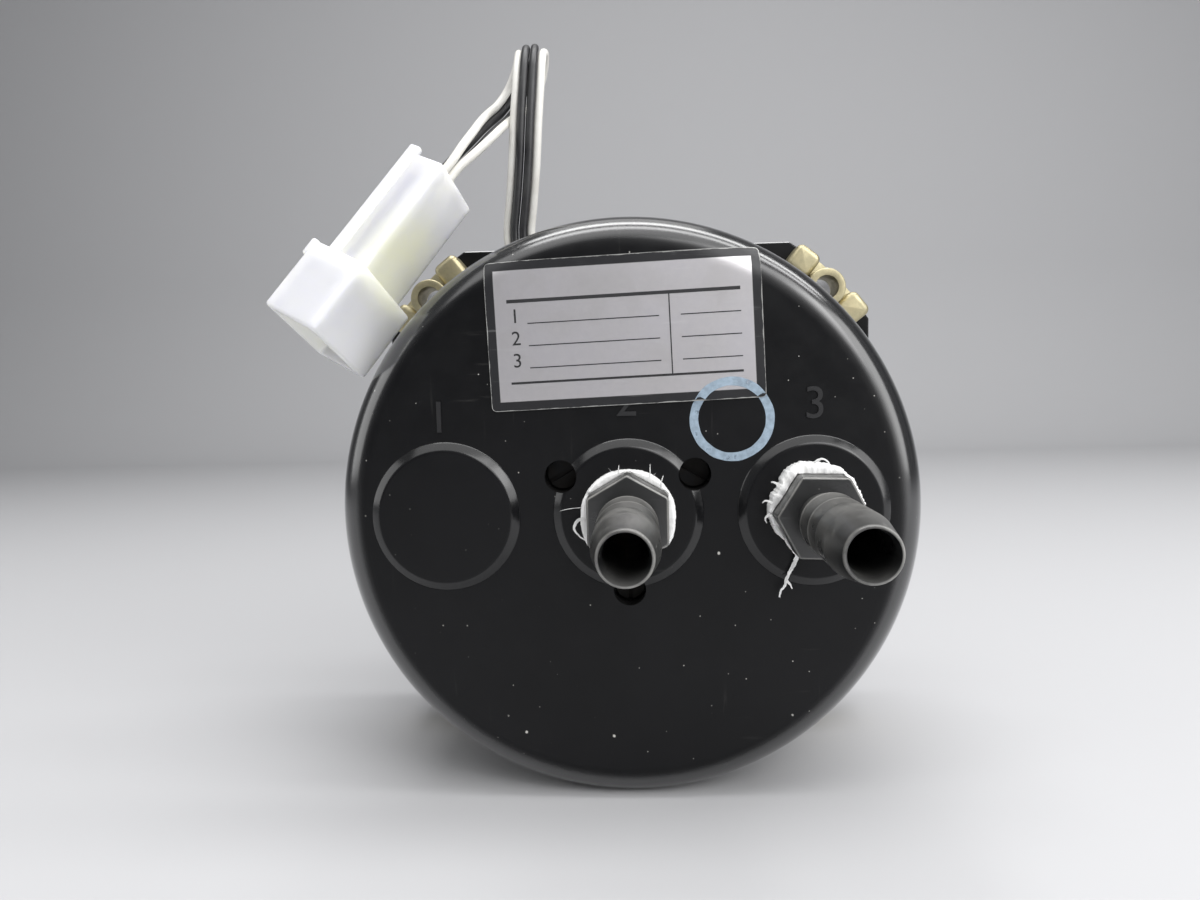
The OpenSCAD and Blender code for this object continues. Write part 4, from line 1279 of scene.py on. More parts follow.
@dataclass
class LeadSet:
    """Four lighting leads that leave the grommet side by side and gather into the plug housing."""

    finish: Finishes
    diameter: float = 1.3
    fan_from: int = 10
    fan_to: int = 20
    samples: int = 6

    NAMES = ("lead_white_a", "lead_black_a", "lead_black_b", "lead_white_b")
    START = ((-1.86, -0.66), (-0.68, 0.0), (0.68, 0.0), (1.86, -0.66))
    END = ((-1.04, -0.1), (0.1, 1.3), (1.04, 0.36), (-0.1, -1.04))
    BOW = (-0.8, 0.5, 0.5, 0.4)
    ROUTE = (
        (16, 12, 37.75), (16.47, 12, 38.86), (16.55, 12.3, 41.6), (16, 13.1, 45.2), (15.5, 13.9, 48.8),
        (15.1, 14.5, 52.4), (14.8, 14.9, 56), (14.5, 15, 59.6), (14.2, 14.7, 63.2), (14.05, 13.7, 66.5),
        (14, 11.8, 68.9), (14.1, 9.3, 69.7), (14.6, 7, 68.6), (15.6, 5.7, 66), (17, 5.8, 63.2),
        (18.4, 7.7, 60.8), (19.5, 11, 58.7), (20.3, 14.8, 56.5), (21.3, 18.3, 54), (22.8, 20.9, 51.5),
        (24.5, 22.45, 49.25), (26.2, 23.5, 46.9), (27.83, 24.42, 44.55),
    )

    def build(self) -> list[bpy.types.Object]:
        """Makes the four leads as curves.

        Returns:
            The leads, in the order of their names.
        """
        return [self._lead(k, name) for k, name in enumerate(self.NAMES)]

    def _lead(self, k: int, name: str) -> bpy.types.Object:
        """Makes one lead."""
        line = smooth_path([self._point(k, i) for i in range(len(self.ROUTE))], self.samples)
        data = bpy.data.curves.new(name + "_jacket", "CURVE")
        data.dimensions = "3D"
        data.bevel_depth = self.diameter / 2 * MM
        data.bevel_resolution = 4
        data.use_fill_caps = True
        path = data.splines.new("POLY")
        path.points.add(len(line) - 1)
        for point, here in zip(path.points, line):
            point.co = (*(here * MM), 1.0)
        path.use_smooth = True
        lead = linked(name + "_jacket", data)
        slot = "lead_white" if "white" in name else "lead_black"
        return dress(lead, self.finish[slot], slot, name)

    def _point(self, k: int, i: int) -> Vector:
        """Place of lead k beside point i of the route."""
        last = len(self.ROUTE) - 1
        here = Vector(self.ROUTE[i])
        along = (Vector(self.ROUTE[min(i + 1, last)]) - Vector(self.ROUTE[max(i - 1, 0)])).normalized()
        across = Vector((1.0, 0.0, 0.0))
        side = (across - along * across.dot(along)).normalized()
        up = along.cross(side)
        t = min(1.0, max(0.0, (i - self.fan_from) / (self.fan_to - self.fan_from)))
        start, end = self.START[k], self.END[k]
        beside = start[0] + (end[0] - start[0]) * t * t + self.BOW[k] * math.sin(math.pi * t)
        above = start[1] + (end[1] - start[1]) * (1 - (1 - t) ** 2)
        return here + side * beside + up * above


@dataclass
class PlugHousing:
    """Moulded plug housing on the leads: a narrow body, a wider shroud and its open mouth."""

    finish: Finishes
    body: Point3 = (7.0, 10.2, 18.5)
    shroud: Point3 = (9.7, 13.9, 11.0)
    wall: float = 1.1
    floor: float = 2.0
    edge: float = 0.8
    soft: float = 0.45
    pocket: float = 3.0
    contact_pitch: float = 5.2
    contact_r: float = 1.65
    at: Point3 = (26.2, 23.5, 46.9)
    turn: Point3 = (50.3, 141.4, 29.4)

    def build(self) -> bpy.types.Object:
        """Makes the housing.

        Returns:
            The housing as one mesh.
        """
        total = self.body[2] + self.shroud[2]
        low = self.body[2]
        housing = flat_plate([rounded_loop(self.body[0], self.body[1], self.edge)], 0.0, low + 1.0,
                             "plug_housing", self.soft)
        collar = flat_plate([rounded_loop(*self.shroud[:2], self.edge)], low, total, "collar", self.soft)
        rail_loop = self._moved(rounded_loop(2.0, 1.1, 0.45), -2.35, -5.05)
        rail = flat_plate([rail_loop], -0.9, low + 0.5, "rail", 0.35)
        tab_loop = self._moved(rounded_loop(1.2, 2.4, 0.5), -4.9, -5.6)
        tab = flat_plate([tab_loop], low - 0.25, low + 2.4, "tab", 0.35)
        combined(housing, [collar, rail, tab], "UNION")
        inside = (self.shroud[0] - 2 * self.wall, self.shroud[1] - 2 * self.wall)
        mouth = flat_plate([rounded_loop(*inside, self.edge / 2)], low + self.floor, total + 1.0, "mouth")
        wires = (self.body[0] - 2 * self.wall, self.body[1] - 2 * self.wall)
        pocket = flat_plate([rounded_loop(*wires, self.edge / 2)], -2.0, self.pocket, "pocket")
        spots = [(0.0, side * self.contact_pitch / 2) for side in (-1, 1)]
        holes = [plain_rod(at, -1.0, low + self.floor + 0.5, self.contact_r, "hole") for at in spots]
        combined(housing, [mouth, pocket, *holes], "DIFFERENCE")
        eased(housing, 0.22, 3, 50.0)
        evened(housing)
        housing.data.transform(self._place())
        return dress(housing, self.finish["connector_nylon"], "connector_nylon", "connector_housing")

    @staticmethod
    def _moved(loop: Sequence[Point2], x: float, z: float) -> list[Point2]:
        """Outline moved across its plane."""
        return [(a + x, b + z) for a, b in loop]

    def _place(self) -> Matrix:
        """Turns a housing made along Y into its place on the leads."""
        lay = Matrix(((1, 0, 0, 0), (0, 0, -1, 0), (0, 1, 0, 0), (0, 0, 0, 1)))
        roll, lean, swing = (math.radians(angle) for angle in self.turn)
        return (Matrix.Translation(Vector(self.at) * MM) @ Matrix.Rotation(swing, 4, "Z")
                @ Matrix.Rotation(lean, 4, "Y") @ Matrix.Rotation(roll, 4, "Z") @ lay)


@dataclass
class CaseShell:
    """Moulded case: barrel, flange, collar, port bosses, screw recesses and the plain port numbers."""

    finish: Finishes
    barrel_r: float = 39.5
    inner_r: float = 37.1
    rear_y: float = 36.0
    wall_y: float = 33.0
    pad_y: float = 29.5
    pad_r: Point2 = (15.4, 8.45)
    rear_round: float = 4.7
    flange_half: float = 39.6
    flange_t: float = 5.0
    corner_r: float = 47.8
    collar_r: float = 38.8
    collar_bore: float = 36.6
    collar_y: float = -6.0
    bolt_r: float = 44.45
    bolt_hole_r: float = 1.85
    boss_r: float = 10.1
    boss_h: float = 0.8
    boss_bevel: float = 1.25
    thread_r: float = 5.0
    port_spacing: float = 24.4
    recess_ring_r: float = 10.25
    recess_r: float = 2.15
    recess_depth: float = 4.4
    shank_r: float = 1.25
    exit_angle: float = 67.0
    exit_y: float = 12.0
    exit_r: float = 3.2

    def build(self) -> bpy.types.Object:
        """Makes the case.

        Returns:
            The case as one mesh.
        """
        shell = as_object(turned(self._section(), segments=240), "case_shell")
        flange = flat_plate([self._flange_loop(), circle_loop((0.0, 0.0), self.barrel_r - 1.2, 240)],
                            0.0, self.flange_t, "flange", 0.4)
        spaced = [(0.0, 0.0), (-self.port_spacing, 0.0), (self.port_spacing, 0.0)]
        bosses = [as_object(turned(self._boss(), at, 160, closed=False), "boss") for at in spaced]
        pads = [plain_rod((0.0, 0.0), self.pad_y, self.rear_y - 0.5, self.pad_r[0], "pad")]
        pads += [plain_rod(at, self.pad_y, self.rear_y - 0.5, self.pad_r[1], "pad") for at in spaced[1:]]
        combined(shell, [flange, *pads, *bosses], "UNION")
        combined(shell, self._cutters(spaced[:2]), "DIFFERENCE")
        eased(shell, 0.14, 2, 55.0, sharp=24.0)
        evened(shell, Vector((0.0, 1.0, 0.0)))
        hold_round(shell.data, self.barrel_r)
        return dress(shell, self.finish["case_black"], "case_black", "case")

    def numbers(self) -> bpy.types.Object:
        """Makes the plain moulded numbers beside the ports.

        Returns:
            The three numbers as one mesh.
        """
        places = (("1", 24.86, 13.11), ("2", 0.0, 14.79), ("3", -24.58, 13.97))
        marks = merge_meshes(words(digit, 6.0, 0.2, facing_rear(x, self.rear_y, z), "number")
                             for digit, x, z in places)
        return dress(as_object(marks, "port_numbers", 60.0), self.finish["number_tops"], "case_black")

    def _section(self) -> list[Point2]:
        """Closed half section of the barrel, rear wall and collar."""
        turn_r = self.barrel_r - self.rear_round
        inner_round = self.rear_round - (self.barrel_r - self.inner_r)
        outside = softened([(self.collar_bore + 0.6, self.collar_y), (self.collar_r, self.collar_y),
                            (self.collar_r, 0.0), (self.barrel_r, 0.0), (self.barrel_r, 4.0)], 0.25, 3)
        rear = arc((turn_r, self.rear_y - self.rear_round), self.rear_round, 0.0, 90.0, 20)
        inside = arc((self.inner_r - inner_round, self.wall_y - inner_round), inner_round, 90.0, 0.0, 8)
        return [*outside, *rear, (0.0, self.rear_y), (0.0, self.wall_y), *inside,
                (self.inner_r, 0.5), (self.collar_bore, 0.5), (self.collar_bore, self.collar_y + 0.3)]

    def _flange_loop(self) -> list[Point2]:
        """Square outline whose corners are arcs about the case axis."""
        half = math.degrees(math.acos(self.flange_half / self.corner_r))
        points: list[Point2] = []
        for k in range(4):
            points += arc((0.0, 0.0), self.corner_r, 90.0 * k + half, 90.0 * (k + 1) - half, 14)
        return points

    def _boss(self) -> list[Point2]:
        """Half section of a raised port boss with a bevelled rim."""
        low, top = self.rear_y - 0.6, self.rear_y + self.boss_h
        return softened([(0.0, low), (self.boss_r, low), (self.boss_r, self.rear_y),
                         (self.boss_r - self.boss_bevel, top), (0.0, top)], 0.3, 5)

    def _cutters(self, ports: Sequence[Point2]) -> list[bpy.types.Object]:
        """Rods that cut the ports, recesses, bolt holes and lead exit."""
        rods = [plain_rod(at, self.pad_y - 1.0, self.rear_y + 2.0, self.thread_r, "port") for at in ports]
        for angle in (30.0, 150.0, 270.0):
            at = arc((0.0, 0.0), self.recess_ring_r, angle, angle, 1)[0]
            seat = self.rear_y - self.recess_depth
            rods.append(plain_rod(at, seat, self.rear_y + 2.0, self.recess_r, "recess"))
            rods.append(plain_rod(at, self.pad_y - 1.0, self.rear_y - 1.0, self.shank_r, "shank"))
        for angle in (45.0, 135.0, 225.0, 315.0):
            at = arc((0.0, 0.0), self.bolt_r, angle, angle, 1)[0]
            rods.append(plain_rod(at, -1.0, self.flange_t + 1.0, self.bolt_hole_r, "bolt"))
        exit_rod = plain_rod((0.0, 0.0), self.inner_r - 1.5, self.barrel_r + 1.5, self.exit_r, "exit")
        exit_rod.data.transform(radial_place(self.exit_angle, self.exit_y))
        return [*rods, exit_rod]


def radial_place(angle: float, y: float) -> Matrix:
    """Stands a piece made along Y on the barrel, at an angle from +X and a distance behind the panel face."""
    lift = Matrix.Rotation(math.pi / 2, 4, "X")
    lean = Matrix.Rotation(math.radians(90.0 - angle), 4, "Y")
    return Matrix.Translation((0.0, y * MM, 0.0)) @ lean @ lift


@dataclass
class LeadGrommet:
    """Rubber grommet in the barrel, where the leads leave."""

    finish: Finishes
    lip_r: float = 4.4
    neck_r: float = 3.15
    foot: float = 36.5
    low: float = 38.6
    top: float = 41.0
    angle: float = 67.0
    y: float = 12.0

    def build(self) -> bpy.types.Object:
        """Makes the grommet.

        Returns:
            The grommet as one mesh.
        """
        section = softened([(0.0, self.foot), (self.neck_r, self.foot), (self.neck_r, self.low),
                            (self.lip_r, self.low), (self.lip_r, self.top), (0.0, self.top)], 0.45, 5)
        grommet = as_object(turned(section, segments=72, closed=False), "grommet")
        grommet.data.transform(radial_place(self.angle, self.y))
        return dress(grommet, self.finish["black_rubber"], "black_rubber", "lead_grommet")


@dataclass
class PortFitting:
    """Barbed hose fitting with its hexagon."""

    finish: Finishes
    node: str
    at: Point2
    hex_turn: float
    thread_r: float = 4.95
    thread_y: float = 29.9
    hex_af: float = 10.3
    hex_y: float = 38.4
    hex_end: float = 43.0
    stem_r: float = 3.25
    barb_r: float = 3.8
    crests: Point2 = (46.5, 51.0)
    crest_l: float = 0.6
    step: float = 0.5
    land: Point2 = (55.5, 60.0)
    tip_r: float = 3.05
    tip_y: float = 65.5
    lip: float = 0.25
    bore_r: float = 2.45
    mouth_r: float = 2.66

    def build(self) -> bpy.types.Object:
        """Makes the fitting.

        Returns:
            The fitting as one mesh.
        """
        stem = as_object(turned(self._section(), self.at, 96, closed=False), self.node + "_body")
        nut = flat_plate([self._hexagon()], self.hex_y, self.hex_end, "hexagon", 0.3)
        combined(stem, [nut], "UNION")
        combined(stem, [self._bore()], "DIFFERENCE")
        evened(stem)
        self._rub(stem.data)
        return dress(stem, self.finish["fitting_nylon"], "fitting_nylon", self.node)

    def _rub(self, mesh: bpy.types.Mesh) -> None:
        """Marks where the barbs, crests, hexagon edge and lip are painted lighter: partly rubbed wear, partly
        painted highlight.
        """
        marks = mesh.attributes.new("rubbed", "FLOAT", "POINT")
        for vertex, mark in zip(mesh.vertices, marks.data):
            place = vertex.co / MM
            reach = math.hypot(place.x - self.at[0], place.z - self.at[1])
            on_barb = place.y > self.hex_end + 1.0 and reach > self.barb_r - 0.06
            on_crest = on_barb and place.y < self.land[0] + 0.1 and reach > self.barb_r - 0.015
            on_hexagon = self.hex_end - 0.28 < place.y < self.hex_end - 0.02 and reach > self.barb_r + 0.3
            on_lip = place.y > self.tip_y - self.lip - 0.05 and reach > self.mouth_r + 0.1
            mark.value = max(0.4 * on_barb, 1.0 * (on_crest or on_hexagon or on_lip))

    def _section(self) -> list[Point2]:
        """Half section of thread, stem, barbs and tip."""
        low, neck = self.thread_y, self.hex_y + 0.6
        line = [(0.0, low), (self.thread_r, low), (self.thread_r, neck), (self.stem_r, neck)]
        for y in self.crests:
            line += [(self.stem_r, y - self.step), (self.barb_r, y), (self.barb_r, y + self.crest_l)]
        start, end = self.land
        line += [(self.stem_r, start - self.step), (self.barb_r, start), (self.barb_r, end),
                 (self.tip_r, self.tip_y - self.lip), (self.tip_r - 0.1, self.tip_y), (0.0, self.tip_y)]
        return softened(line, 0.13, 3)

    def _hexagon(self) -> list[Point2]:
        """Hexagon with its corners a little rounded."""
        corner_r = self.hex_af / 2 / math.cos(math.radians(30.0))
        corners = arc(self.at, corner_r, self.hex_turn, self.hex_turn + 360.0, 6)[:-1]
        closed = [corners[-1], *corners, corners[0]]
        return softened(closed, 0.35, 3)[1:-1]

    def _bore(self) -> bpy.types.Object:
        """Rod with a flared mouth that cuts the bore."""
        low, high = self.thread_y - 1.0, self.tip_y + 0.5
        line = [(0.0, low), (self.bore_r, low), (self.bore_r, self.tip_y - 1.6),
                (self.mouth_r, self.tip_y - 0.2), (self.mouth_r + 0.1, high), (0.0, high)]
        return as_object(turned(line, self.at, 96, closed=False), "bore")


@dataclass
class TapeWrap:
    """Sealing tape squeezed out between a boss and its hexagon, with a few loose strands."""

    finish: Finishes
    node: str
    at: Point2
    hex_turn: float
    seed: int
    edge: Sequence[Point3]
    strands: Sequence[tuple[Sequence[Point3], float]]
    hex_af: float = 10.3
    inner_r: float = 4.97
    low: float = 36.83
    high: float = 38.37
    thickness: float = 0.09
    fray: float = 0.34

    def build(self, fibres: bpy.types.NodeTree) -> bpy.types.Object:
        """Makes the tape.

        Args:
            fibres: the tree that grows loose fibres.

        Returns:
            The tape as one mesh.
        """
        parts = [self._ring()]
        for k, (points, width) in enumerate(self.strands):
            placed = [(self.at[0] + x, y, self.at[1] + z) for x, y, z in points]
            parts.append(ribbon(placed, width, self.thickness, self.seed + k, taper=0.25))
        tape = as_object(merge_meshes(parts), self.node + "_wrap", 60.0)
        fuzz = grown(self.node + "_fuzz", fibres, tape.data.copy(), Density=9.0e4, Length=0.8 * MM,
                     Thickness=0.02 * MM, Seed=self.seed, Material=self.finish["thread_tape"])
        made = as_object(merge_meshes([taken(tape), taken(fuzz)]), self.node + "_wrap", 60.0)
        return dress(made, self.finish["thread_tape"], "thread_tape", self.node)

    def _ring(self) -> bmesh.types.BMesh:
        """Makes the squeezed band: a soft roll that leans on the hexagon's sides where it stands out."""
        mesh = bmesh.new()
        rings = []
        count = 220
        for i in range(count):
            angle = 360.0 * i / count
            turn = math.radians(angle)
            where = Vector((3.0 * math.cos(turn), 3.0 * math.sin(turn), self.seed))
            out, front = self._edge_at(angle)
            ragged = noise.noise(where) + 0.6 * noise.noise(where * 4.0) + 0.5 * noise.noise(where * 11.0)
            out += self.fray * ragged
            wall = min(self._hexagon(angle) + 0.05, out - 0.25)
            lifted = min(1.0, max(0.0, (out - 0.25 - self._hexagon(angle)) / 0.25))
            ruffle = 0.8 * self.fray * noise.noise(where * 3.0)
            top = self.high + (front - self.high) * lifted + ruffle * lifted
            fold = 0.09 * noise.noise(where * 2.0)
            section = [(self.inner_r, self.low), (out - 0.3, self.low), (out, self.low + 0.3),
                       (out - 0.07 + fold, self.low + 0.75), (out + 0.02, self.low + 1.1),
                       (out - 0.04 - fold, top - 0.3), (out - 0.16, top - 0.06), (0.5 * (out + wall), top),
                       (wall + 0.03, top - 0.08), (wall, self.high), (self.inner_r, self.high)]
            places = [(self.at[0] + radius * math.cos(turn), y, self.at[1] + radius * math.sin(turn))
                      for radius, y in section]
            rings.append([mesh.verts.new((x * MM, y * MM, z * MM)) for x, y, z in places])
        return skinned(mesh, rings, loop=True)

    def _hexagon(self, angle: float) -> float:
        """Distance from the axis to the hexagon's side at an angle."""
        beside = (angle - self.hex_turn) % 60.0 - 30.0
        return self.hex_af / 2 / math.cos(math.radians(beside))

    def _edge_at(self, angle: float) -> Point2:
        """Radius and front of the band at an angle, between the listed places of its edge."""
        places = [*self.edge, (self.edge[0][0] + 360.0, *self.edge[0][1:])]
        turned_to = (angle - places[0][0]) % 360.0 + places[0][0]
        for (a, r0, y0), (b, r1, y1) in zip(places, places[1:]):
            if a <= turned_to <= b:
                share = 0.5 - 0.5 * math.cos(math.pi * (turned_to - a) / (b - a))
                return r0 + (r1 - r0) * share, y0 + (y1 - y0) * share
        return places[0][1], places[0][2]


@dataclass
class DataPlate:
    """Foil data plate that lies on the rear face and bends over its rim, with blank ruled fields."""

    finish: Finishes
    width: float = 36.0
    height: float = 19.5
    thickness: float = 0.25
    centre_z: float = 24.2
    turn: float = 1.9
    rear_y: float = 36.0
    rim_r: float = 34.8
    rim_round: float = 4.7
    corner: float = 0.6
    ink: float = 0.02

    def build(self) -> bpy.types.Object:
        """Makes the foil.

        Returns:
            The foil as one closed mesh with a UV map over its face.
        """
        columns, rows = 72, 40
        mesh = bmesh.new()
        uv = mesh.loops.layers.uv.new("plate")
        skins = []
        for height in (self.thickness, 0.01):
            skins.append([[mesh.verts.new(self.point(*self._inset(i / columns, j / rows), height))
                           for i in range(columns + 1)] for j in range(rows + 1)])
        top, bottom = skins
        for j in range(rows):
            for i in range(columns):
                face = mesh.faces.new((top[j][i], top[j][i + 1], top[j + 1][i + 1], top[j + 1][i]))
                shares = ((i, j), (i + 1, j), (i + 1, j + 1), (i, j + 1))
                for loop, (a, b) in zip(face.loops, shares):
                    loop[uv].uv = (a / columns, b / rows)
                mesh.faces.new((bottom[j][i], bottom[j + 1][i], bottom[j + 1][i + 1], bottom[j][i + 1]))
        rim = ([(i, 0) for i in range(columns)] + [(columns, j) for j in range(rows)]
               + [(i, rows) for i in range(columns, 0, -1)] + [(0, j) for j in range(rows, 0, -1)])
        for (a, b), (c, d) in zip(rim, rim[1:] + rim[:1]):
            mesh.faces.new((top[b][a], bottom[b][a], bottom[d][c], top[d][c]))
        bmesh.ops.recalc_face_normals(mesh, faces=mesh.faces)
        foil = as_object(mesh, "data_foil", 40.0)
        return dress(foil, self.finish["label_foil"], "label_foil", "data_plate")

    def print_fields(self) -> bpy.types.Object:
        """Makes the ruled fields and plain row numbers.

        Returns:
            The print as one mesh.
        """
        rules = [(-15.2, 4.3, 15.2, 4.75), (-12.6, 1.5, 4.6, 1.64), (7.4, 1.5, 15.2, 1.64),
                 (-12.6, -1.4, 4.6, -1.26), (-12.6, -4.3, 4.6, -4.16), (7.4, -1.4, 15.2, -1.26),
                 (7.4, -4.3, 15.2, -4.16), (-15.2, -6.3, 15.2, -6.0), (5.9, -6.0, 6.06, 4.3)]
        parts = [self._strip(*rule) for rule in rules]
        for row, (u, v) in enumerate(((-14.2, 2.5), (-14.2, -0.4), (-14.2, -3.3)), start=1):
            x, y, z = (value / MM for value in self.point(u, v, self.thickness))
            place = facing_rear(x, y + self.ink / 2, z, self.turn)
            parts.append(words(str(row), 2.6, self.ink / 2, place, "row"))
        printed = as_object(merge_meshes(parts), "data_print", 60.0)
        return dress(printed, self.finish["print_black"], "label_foil")

    def point(self, u: float, v: float, height: float) -> Vector:
        """Place on the plate.

        Args:
            u: distance from its middle towards the right as it is read, in millimetres.
            v: distance from its middle upwards.
            height: distance above the case's skin.

        Returns:
            The point in metres.
        """
        lean = math.radians(self.turn)
        x = -(u * math.cos(lean) - v * math.sin(lean))
        z = self.centre_z + u * math.sin(lean) + v * math.cos(lean)
        radius = math.hypot(x, z)
        over = radius - self.rim_r
        if over <= 0.0:
            return Vector((x, self.rear_y + height, z)) * MM
        deep = min(1.0, over / (self.rim_round + height))
        y = self.rear_y - self.rim_round + (self.rim_round + height) * math.sqrt(1.0 - deep * deep)
        return Vector((x, y, z)) * MM

    def _inset(self, a: float, b: float) -> Point2:
        """Plate coordinates for shares of its width and height, with the corners rounded."""
        u, v = (a - 0.5) * self.width, (b - 0.5) * self.height
        past_u = abs(u) - (self.width / 2 - self.corner)
        past_v = abs(v) - (self.height / 2 - self.corner)
        if past_u > 0.0 and past_v > 0.0:
            reach = max(past_u, past_v) / math.hypot(past_u, past_v)
            u = math.copysign(self.width / 2 - self.corner + past_u * reach, u)
            v = math.copysign(self.height / 2 - self.corner + past_v * reach, v)
        return u, v

    def _strip(self, u0: float, v0: float, u1: float, v1: float) -> bmesh.types.BMesh:
        """Printed bar that follows the plate's face."""
        steps = max(2, int(max(u1 - u0, v1 - v0)))
        along_u = u1 - u0 > v1 - v0
        mesh = bmesh.new()
        rings = []
        for i in range(steps + 1):
            t = i / steps
            ends = ((u0 + (u1 - u0) * t, v0), (u0 + (u1 - u0) * t, v1)) if along_u else (
                (u0, v0 + (v1 - v0) * t), (u1, v0 + (v1 - v0) * t))
            low, high = self.thickness - 0.02, self.thickness + self.ink
            corners = [self.point(*ends[0], low), self.point(*ends[1], low),
                       self.point(*ends[1], high), self.point(*ends[0], high)]
            rings.append([mesh.verts.new(corner) for corner in corners])
        return skinned(mesh, rings, capped=True)


@dataclass
class InkRing:
    """Plain ring of marking ink, stamped half on the plate and half on the case."""

    finish: Finishes
    plate: DataPlate
    at: Point2 = (-13.82, 12.26)
    outer: float = 5.53
    inner: float = 4.4
    film: float = 0.015

    def build(self) -> bpy.types.Object:
        """Makes the ring.

        Returns:
            The ring as one closed mesh.
        """
        mesh = bmesh.new()
        rings = []
        count = 180
        corners = ((self.inner, 0.0), (self.outer, 0.0), (self.outer, self.film), (self.inner, self.film))
        for i in range(count):
            turn = 2 * math.pi * i / count
            section = []
            for radius, lift in corners:
                where = Vector((math.cos(turn) * 4.0, math.sin(turn) * 4.0, radius))
                wavy = radius + 0.06 * noise.noise(where)
                x, z = self.at[0] + wavy * math.cos(turn), self.at[1] + wavy * math.sin(turn)
                y = self.plate.rear_y + self._under(x, z) + 0.012 + lift
                section.append(mesh.verts.new((x * MM, y * MM, z * MM)))
            rings.append(section)
        stamp = as_object(skinned(mesh, rings, loop=True), "stamp_ring", 60.0)
        return dress(stamp, self.finish["stamp_ink"], "label_foil")

    def _under(self, x: float, z: float) -> float:
        """Height of what lies under the ink: the plate with its edge, or the bare case."""
        lean = math.radians(self.plate.turn)
        rise = z - self.plate.centre_z
        u = -x * math.cos(lean) + rise * math.sin(lean)
        v = x * math.sin(lean) + rise * math.cos(lean)
        inside = min(self.plate.width / 2 - abs(u), self.plate.height / 2 - abs(v))
        share = min(1.0, max(0.0, 0.5 + inside / 0.3))
        return self.plate.thickness * share


@dataclass
class PanelNuts:
    """Four spring-clip nuts behind the flange's corners."""

    finish: Finishes
    bolt_r: float = 44.45
    hole_r: float = 1.85
    flange_t: float = 5.0
    clip_t: float = 1.0
    strip: Point2 = (41.05, 47.8)
    strip_half: float = 9.0
    barrel_r: float = 3.0
    barrel_end: float = 11.4
    lug_angle: float = 6.8
    lug_w: float = 4.3
    lug: Point2 = (43.3, 47.7)
    lug_end: float = 10.0
    lug_round: float = 0.8

    def build(self, ring: bpy.types.NodeTree) -> bpy.types.Object:
        """Makes the nuts.

        Args:
            ring: the tree that sets copies round the axis.

        Returns:
            The four nuts as one mesh.
        """
        nut = self._one()
        nuts = grown("panel_nuts", ring, nut.data.copy(), Count=4, Start=math.radians(45.0),
                     Step=math.radians(90.0), Material=self.finish["nut_brass"])
        bpy.data.objects.remove(nut)
        return dress(nuts, self.finish["nut_brass"], "nut_brass", "mounting_nuts")

    def _one(self) -> bpy.types.Object:
        """Makes one nut at the top of the flange."""
        span = (90.0 - self.strip_half, 90.0 + self.strip_half)
        sheet = arc((0.0, 0.0), self.strip[1], *span, 20) + arc((0.0, 0.0), self.strip[0], *span, 20)[::-1]
        nut = flat_plate([sheet], self.flange_t, self.flange_t + self.clip_t, "nut", 0.2)
        base = self.flange_t + 0.05
        barrel = softened([(0.0, base), (self.barrel_r, base),
                           (self.barrel_r, self.barrel_end), (0.0, self.barrel_end)], 0.35, 3)
        adds = [as_object(turned(barrel, (0.0, self.bolt_r), 64, closed=False), "barrel")]
        for side in (-1, 1):
            outline = self._lug(side * self.lug_angle)
            adds.append(flat_plate([outline], base, self.lug_end, "lug", self.lug_round))
        combined(nut, adds, "UNION")
        low, high = self.flange_t - 1.0, self.barrel_end + 1.0
        combined(nut, [plain_rod((0.0, self.bolt_r), low, high, self.hole_r, "hole")], "DIFFERENCE")
        eased(nut, 0.12, 2, 50.0)
        return nut

    def _lug(self, lean: float) -> list[Point2]:
        """Outline of one end lug, turned by lean degrees from the top."""
        half = self.lug_w / 2
        height = self.lug[1] - self.lug[0]
        middle = 0.5 * (self.lug[0] + self.lug[1])
        outline = [(x, z + middle) for x, z in rounded_loop(self.lug_w, height, 0.5 * half)]
        turn = Matrix.Rotation(math.radians(-lean), 2)
        return [tuple(turn @ Vector(point)) for point in outline]


